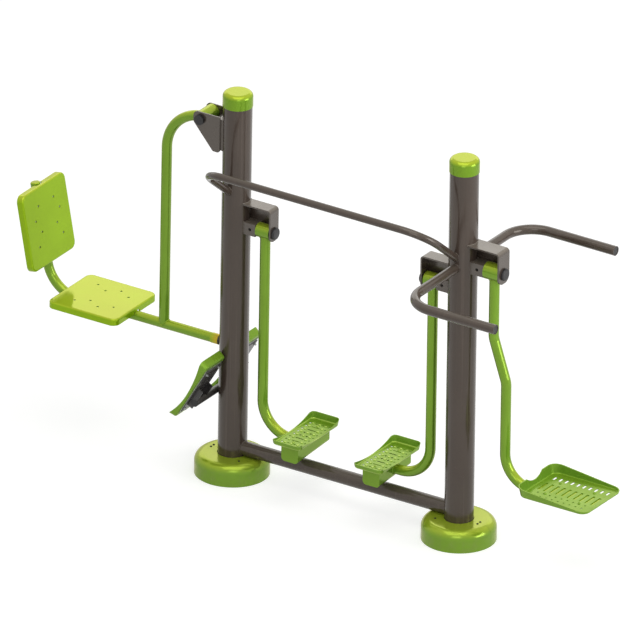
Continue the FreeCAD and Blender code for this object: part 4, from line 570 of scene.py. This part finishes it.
dress(tube_brown, "side_handle_near", "side_handle_far")
handle_root = RIGHT_POST + Z_AXIS * 1.428
handle_out = Y_AXIS * 0.2
handle_weld_radius = 0.0239
weld("SideHandleWelds", "frame", tube_brown, "post_paint", 0.0035,
     tube_foot(handle_root - handle_out, Y_AXIS, handle_weld_radius, RIGHT_POST),
     tube_foot(handle_root + handle_out, -Y_AXIS, handle_weld_radius, RIGHT_POST))


def moulded_black(name, colour, rough):
    """Black or grey moulding: fine spark texture, pale handling marks and chalky patches."""
    material = bpy.data.materials.new(name)
    tree = node_tree(material)
    place = add(tree, "ShaderNodeTexCoord").outputs["Object"]
    chalk = span(tree, cloud(tree, place, 14, 4), 0.4, 0.75, 0.0, 0.3)
    blend = mix(tree, chalk, colour, tuple(c * 1.8 + 0.01 for c in colour[:3]) + (1,))
    marks = span(tree, cloud(tree, place, 1, 5, (260, 60, 260)), 0.66, 0.74, 0.0, 0.25)
    blend = mix(tree, marks, blend, tuple(c * 2.5 + 0.02 for c in colour[:3]) + (1,))
    gloss = calc(tree, "ADD", span(tree, cloud(tree, place, 30, 2), 0.3, 0.7, rough[0], rough[1]), marks)
    finish_material(tree, blend, gloss, [(cloud(tree, place, 900, 2), 0.3, 0.0001)])
    return material


black = moulded_black("BlackMoulding", shade(24, 23, 24), (0.34, 0.5))
plugs = []
for low, high in solids_of("handle_plugs"):
    middle = (low + high) / 2
    spot = Vector((high.x, middle.y, middle.z))
    ribs = []
    for index in range(4):
        ribs += [(0.0196, -0.0195 + index * 0.004, 0), (0.0206, -0.0180 + index * 0.004, 0)]
    plugs.append(lathe(spot, X_AXIS, [(0.0186, -0.0215, 0)] + ribs + [
        (0.0206, -0.0012, 0), (0.0200, -0.0004, 0), (0.0180, 0, 0), (0.0120, 0, 0), (0.0112, -0.0006, 0),
        (0.0050, -0.0008, 0), (0.0020, -0.0002, 0)], 40))
piece("HandlePlugs", *gather(plugs), black, "frame", "black_plastic", ["handle_plugs"])

# Axle blocks, axles and hoods
# A square tube block on the post grips the fixed end of each hub axle with a set screw. A folded
# plate hood above carries the other end, under a nut with a black moulded cap.

plate_brown = powder_coat("PlateBrown", shade(68, 58, 51), shade(112, 103, 92), (1, 0.96, 0.88, 1),
                          (0.16, 0.28), Specular_IOR_Level=0.9)
dress(plate_brown, "hood_left", "hood_right", "hood_swing", "axle_blocks")
dress(zinc, "axle_nuts", "axle_spacers")
dress(black, "axle_caps")
ground_steel = bare_metal("GroundSteel", shade(186, 188, 190), shade(160, 162, 164), (0.16, 0.28),
                          (60, 900, 900), rust=0.1)
dress(ground_steel, "hub_axles")

BLOCK_HALF = 0.031
WALKER_AXLE_HEIGHT = 1.298
SWING_AXLE_HEIGHT = 1.432
walker_hood = {"half": 0.036, "top": 1.425, "web_foot": 1.322}
swing_hood = {"half": 0.046, "top": 1.552, "web_foot": 1.452}


def block_foot(post, side, height):
    """Closed line where a square block meets its post."""
    corners = [(-1, -1), (1, -1), (1, 1), (-1, 1)]
    line = []
    for index, (y, z) in enumerate(corners):
        next_y, next_z = corners[(index + 1) % 4]
        for step in range(8):
            share = step / 8
            spot = Vector((0, BLOCK_HALF * (y + (next_y - y) * share),
                           height + BLOCK_HALF * (z + (next_z - z) * share)))
            spot.x = post.x + side * math.sqrt(POST_RADIUS ** 2 - spot.y ** 2)
            line.append(spot)
    return line, True


def hood_foot(post, side, half, top, web_foot):
    """Open line where a hood's top plate and far web meet the post."""
    spots = [(-half, top - 0.008)] + [(half * (k / 8 - 1), top) for k in range(16)]
    spots += [(half, top), (half, web_foot)]
    return [Vector((post.x + side * math.sqrt(POST_RADIUS ** 2 - y * y), y, z)) for y, z in spots], False


weld("BlockWelds", "frame", plate_brown, "post_paint", 0.003,
     block_foot(LEFT_POST, 1, WALKER_AXLE_HEIGHT), block_foot(RIGHT_POST, -1, WALKER_AXLE_HEIGHT),
     block_foot(RIGHT_POST, 1, SWING_AXLE_HEIGHT))
weld("HoodWelds", "frame", plate_brown, "post_paint", 0.0028,
     hood_foot(LEFT_POST, 1, **walker_hood), hood_foot(RIGHT_POST, -1, **walker_hood),
     hood_foot(RIGHT_POST, 1, **swing_hood))
set_screws = []
for low, high in solids_of("axle_set_screws"):
    middle = (low + high) / 2
    spot = Vector((middle.x, low.y, middle.z))
    radius = (high.x - low.x) / 2
    set_screws.append(lathe(spot, Y_AXIS, [
        (0.0008, 0.0058, 0), (radius * 0.5, 0.0060, 1), (radius * 0.52, 0.0006, 1), (radius * 0.62, 0, 0),
        (radius * 0.9, 0, 0), (radius, 0.0008, 0)] + [
        (radius * (0.9 if index % 2 else 1), 0.0014 + index * 0.0009, 0) for index in range(11)] + [
        (radius * 0.7, 0.0130, 0)]))
piece("AxleSetScrews", *gather(set_screws), blackened, "frame", "zinc_steel", ["axle_set_screws"])

# Walker legs
# Each leg is a hub on two ball bearings with a 50 mm tube that drops to the pedal and turns inward
# under it, powder coated green. The tube is coped and welded to the hub and to the pedal bracket.

dress(leaf_green, "walker_leg_left", "walker_leg_right", "pedal_bracket_left", "pedal_bracket_right")
dress(ground_steel, "walker_bearings_left", "walker_bearings_right")


LEG_WELD_RADIUS = 0.0252


def hub_foot(x, height, hub):
    """Closed line where a hanging leg tube meets the underside of its hub."""
    line = []
    for k in range(48):
        angle = 2 * math.pi * k / 48
        y = LEG_WELD_RADIUS * math.sin(angle)
        line.append(Vector((x + LEG_WELD_RADIUS * math.cos(angle), y,
                            height - math.sqrt(hub * hub - y * y))))
    return line, True


def ring_line(middle, aside, over, radius, start=0.0, stop=360.0):
    """Round line, closed if it goes all the way."""
    count = 48
    whole = stop - start >= 360
    angles = [math.radians(start + (stop - start) * k / count) for k in range(count if whole else count + 1)]
    return [middle + (aside * math.cos(a) + over * math.sin(a)) * radius for a in angles], whole


walker_hub_radius = 0.0362
bracket_height = 0.2607
bracket_weld_radius = 0.0255
for side, hub_x, bracket_x in (("left", 0.165, 0.3588), ("right", 1.105, 0.9112)):
    weld("WalkerWelds_" + side, "walker_" + side, leaf_green, "green_paint", 0.0032,
         hub_foot(hub_x, WALKER_AXLE_HEIGHT, walker_hub_radius),
         ring_line(Vector((bracket_x, 0, bracket_height)), Y_AXIS, Z_AXIS, bracket_weld_radius))

# Walker pedals
# Pressed 3 mm steel trays with drain holes, slots and raised studs, bolted down on a folded channel
# bracket by two button-head screws that were painted over.

# tops gives the heights where the stud crowns get a painted highlight.
tread_green = powder_coat("TreadGreen", leaf_base, shade(124, 164, 40), (1, 0.86, 0.5, 1),
                          (0.2, 0.34), wear=0.35, tops=(0.3028, 0.3045), Metallic=0.3,
                          Specular_IOR_Level=0.4)
dress(tread_green, "walker_pedal_left", "walker_pedal_right")


def button_bolt(low, high, axis, length, nut_face):
    """Button-head bolt with washer, nut and thread, head towards the axis, by its solid's box."""
    spot = (low + high) / 2 + axis * (length / 2)
    return gather([
        lathe(spot, axis, thread(0.004, -length, -0.0050) + [
            (0.0073, -0.0040, 0), (0.0075, -0.0032, 0), (0.0070, -0.0018, 0), (0.0056, -0.0006, 0),
            (0.0036, 0, 0), (0.0032, -0.0002, 1), (0.0029, -0.0024, 1), (0.0006, -0.0030, 0)]),
        lathe(spot - axis * nut_face, axis, [
            (0.0041, -0.0064, 0), (0.0056, -0.0064, 0), (0.0068, -0.0058, 1), (0.0074, -0.0052, 1),
            (0.0074, -0.0020, 1), (0.0068, -0.0016, 1), (0.0074, -0.0014, 0), (0.0074, 0, 0),
            (0.0041, 0, 0)])])


pedal_bolt_length, pedal_nut_face = 0.023, 0.011
for side in ("left", "right"):
    node = "pedal_bolts_" + side
    bolts = [button_bolt(low, high, Z_AXIS, pedal_bolt_length, pedal_nut_face)
             for low, high in solids_of(node)]
    piece("PedalBolts_" + side, *gather(bolts), tread_green, "walker_" + side, "green_paint", [node])

# Swing leg and board
# The third hub carries a tube that jogs forward and turns under the board. A carrier plate is
# welded along it, and a pressed 4 mm board with slots is bolted on top.

dress(leaf_green, "swing_leg", "board_carrier")
dress(tread_green, "swing_board")
dress(ground_steel, "swing_bearings")
swing_hub_x, swing_hub_radius = 1.4476, 0.0432
carrier_start, carrier_end, carrier_foot = 1.745, 1.940, 0.3836
carrier_weld_half = 0.0088
carrier_runs = []
for y in (-carrier_weld_half, carrier_weld_half):
    carrier_runs.append(([Vector((carrier_start, y, carrier_foot)),
                          Vector((carrier_end, y, carrier_foot))], False))
weld("SwingWelds", "pendulum", leaf_green, "green_paint", 0.0034,
     hub_foot(swing_hub_x, SWING_AXLE_HEIGHT, swing_hub_radius), *carrier_runs)
board_bolt_length, board_nut_face = 0.024, 0.013
bolts = [button_bolt(low, high, Z_AXIS, board_bolt_length, board_nut_face)
         for low, high in solids_of("board_bolts")]
piece("BoardBolts", *gather(bolts), tread_green, "pendulum", "green_paint", ["board_bolts"])

# Leg press gussets and axle
# Two 6 mm plates lap the sides of a saddle on the back of the left post and hold the press axle
# between them. Everything is welded and coated brown. Black caps close the ends of the axle.

dress(plate_brown, "press_gusset_near", "press_gusset_far", "press_saddle")
dress(black, "press_axle_caps")
dress(ground_steel, "press_axle", "press_bearings")
saddle_foot, saddle_top = 1.677, 1.838
saddle_half = 0.052
gusset_edge_x, gusset_edge_y = -0.0605, 0.0535
post_edge_x, post_edge_y = 0.0005 - math.sqrt(POST_RADIUS ** 2 - saddle_half ** 2), 0.0525
arc_start, arc_sweep = 132, 96
saddle_runs = []
for side in (-1, 1):
    for edge_x, edge_y in ((gusset_edge_x, gusset_edge_y), (post_edge_x, post_edge_y)):
        saddle_runs.append(([Vector((edge_x, side * edge_y, saddle_foot)),
                             Vector((edge_x, side * edge_y, saddle_top))], False))
for height in (saddle_foot, saddle_top):
    turns = [math.radians(arc_start + arc_sweep * k / 16) for k in range(17)]
    saddle_runs.append(([Vector((POST_RADIUS * math.cos(a), POST_RADIUS * math.sin(a), height))
                         for a in turns], False))
weld("SaddleWelds", "frame", plate_brown, "post_paint", 0.0022, *saddle_runs)

# Leg press arm and seat bar
# A hub between the gussets carries a tube that runs out and drops to the seat bar. The bar runs
# under the seat and bends up behind the back rest. Both are coated green.

dress(leaf_green, "press_arm", "seat_bar", "panel_plates")
press_hub = Vector((-0.172, 0, 1.812))
press_hub_radius = 0.0382
arm_drop = 0.011
arm_x = -0.392
bar_height, bar_radius = 0.665, 0.0239
bar_turn = math.radians(78.9)
arm_line = []
bar_line = []
for k in range(48):
    angle = 2 * math.pi * k / 48
    along = LEG_WELD_RADIUS * math.cos(angle)
    beside = LEG_WELD_RADIUS * math.sin(angle)
    z = press_hub.z - arm_drop + beside
    arm_line.append(Vector((press_hub.x - math.sqrt(press_hub_radius ** 2 - (z - press_hub.z) ** 2),
                            along, z)))
    hang = math.sqrt(max(0, bar_radius ** 2 - beside ** 2))
    bar_line.append(Vector((arm_x + along, beside, bar_height + hang)))
bar_corner = Vector((-1.018, 0, bar_height))
bar_rise = Vector((-math.cos(bar_turn), 0, math.sin(bar_turn)))
bar_face = Vector((bar_rise.z, 0, -bar_rise.x))
seat_plate = Vector((-0.731, 0, bar_height))
back_plate = bar_corner + bar_rise * 0.358
plate_foot, plate_weld_half, plate_bead = 0.0228, 0.0085, 0.056
plate_runs = []
for start, ahead, face in ((seat_plate, X_AXIS, Z_AXIS), (back_plate, bar_rise, bar_face)):
    for y in (-plate_weld_half, plate_weld_half):
        for begin in (-0.108, -0.028, 0.052):
            foot = start + face * plate_foot + Y_AXIS * y
            plate_runs.append(([foot + ahead * begin, foot + ahead * (begin + plate_bead)], False))
weld("PressWelds", "press", leaf_green, "green_paint", 0.0032, (arm_line, True), (bar_line, True),
     *plate_runs)

# Seat and back panels
# Two green plastic mouldings with rounded edges, each held to its steel plate by eight screws sunk
# in round pockets. A moulded cap closes the top of the bar.

panel_green = powder_coat("PanelGreen", shade(144, 184, 12), shade(184, 200, 52), (1, 0.8, 0.4, 1),
                          (0.08, 0.16), dust=0, Metallic=0.3, Specular_IOR_Level=0.4)
dress(panel_green, "seat_panel", "back_panel")
dress(moulded_green, "seat_bar_end_cap")


def sunk_screw(low, high, axis):
    """Pan-head screw in a pocket, head towards the axis, by its solid's box."""
    length = 0.0238
    spot = (low + high) / 2 + axis * (length / 2)
    return lathe(spot, axis, thread(0.003, -length, -0.0050) + [
        (0.0050, -0.0040, 0), (0.0050, -0.0022, 0), (0.0044, -0.0008, 0), (0.0034, 0, 0),
        (0.0027, 0, 0), (0.0026, -0.0002, 1), (0.0024, -0.0020, 1), (0.0006, -0.0024, 0)])


above_seat = 0.8
screws = []
for low, high in solids_of("panel_bolts"):
    screws.append(sunk_screw(low, high, bar_face if high.z > above_seat else Z_AXIS))
piece("PanelScrews", *gather(screws), zinc, "press", "zinc_steel", ["panel_bolts"])

# Buffer
# A rubber stop on the end of the seat bar, held by a metallic gold band that fades out of the
# green of the bar.

rubber = moulded_black("BufferRubber", shade(46, 44, 42), (0.5, 0.7))
dress(rubber, "press_buffer")
gold = powder_coat("GoldBand", shade(150, 170, 38), shade(176, 186, 50), (1, 0.8, 0.4, 1),
                   (0.12, 0.22), band=(shade(196, 168, 46), -0.118, -0.084), Metallic=0.4)
dress(gold, "buffer_sleeve")

# Foot rest frame
# A short 36 mm cross tube is welded to the back of the left post. Each end carries an open box with
# a flange, coated near black, and a moulded plug closes the tube.

dark_paint = powder_coat("DarkPaint", shade(54, 52, 51), shade(78, 76, 73), (1, 1, 1, 1),
                         (0.22, 0.36), Specular_IOR_Level=0.5)
dress(dark_paint, "foot_rest_tube", "foot_rest_brackets")
dress(black, "foot_rest_tube_caps")
rest_line = Vector((-0.088, 0, 0.409))
rest_lean = math.radians(30.2)
rest_rise = Vector((math.sin(rest_lean), 0, math.cos(rest_lean)))
rest_face = Vector((-math.cos(rest_lean), 0, math.sin(rest_lean)))
rest_weld_radius = 0.0182
post_side, post_bead_half, post_bead_rise = 0.0165, 0.018, 0.0095
box_side = 0.1115
rest_runs = []
for rise_by in (-post_bead_rise, post_bead_rise):
    rest_runs.append(([rest_line + Vector((post_side, -post_bead_half, rise_by)),
                       rest_line + Vector((post_side, post_bead_half, rise_by))], False))
for y in (-box_side, box_side):
    rest_runs.append(ring_line(rest_line + Y_AXIS * y, rest_rise, rest_face, rest_weld_radius, -16, 196))
weld("FootRestWelds", "frame", dark_paint, "dark_paint", 0.003, *rest_runs)

# Foot rests
# Two more pressed trays like the pedals, tilted to face the seat, each bolted through a zinc
# plated backing plate to its bracket.

dress(tread_green, "foot_rest_near", "foot_rest_far")
dress(zinc, "foot_rest_plates")
rest_bolt_length, rest_nut_face = 0.026, 0.014
bolts = [button_bolt(low, high, rest_face, rest_bolt_length, rest_nut_face)
         for low, high in solids_of("foot_rest_bolts")]
piece("FootRestBolts", *gather(bolts), zinc, "frame", "zinc_steel", ["foot_rest_bolts"])
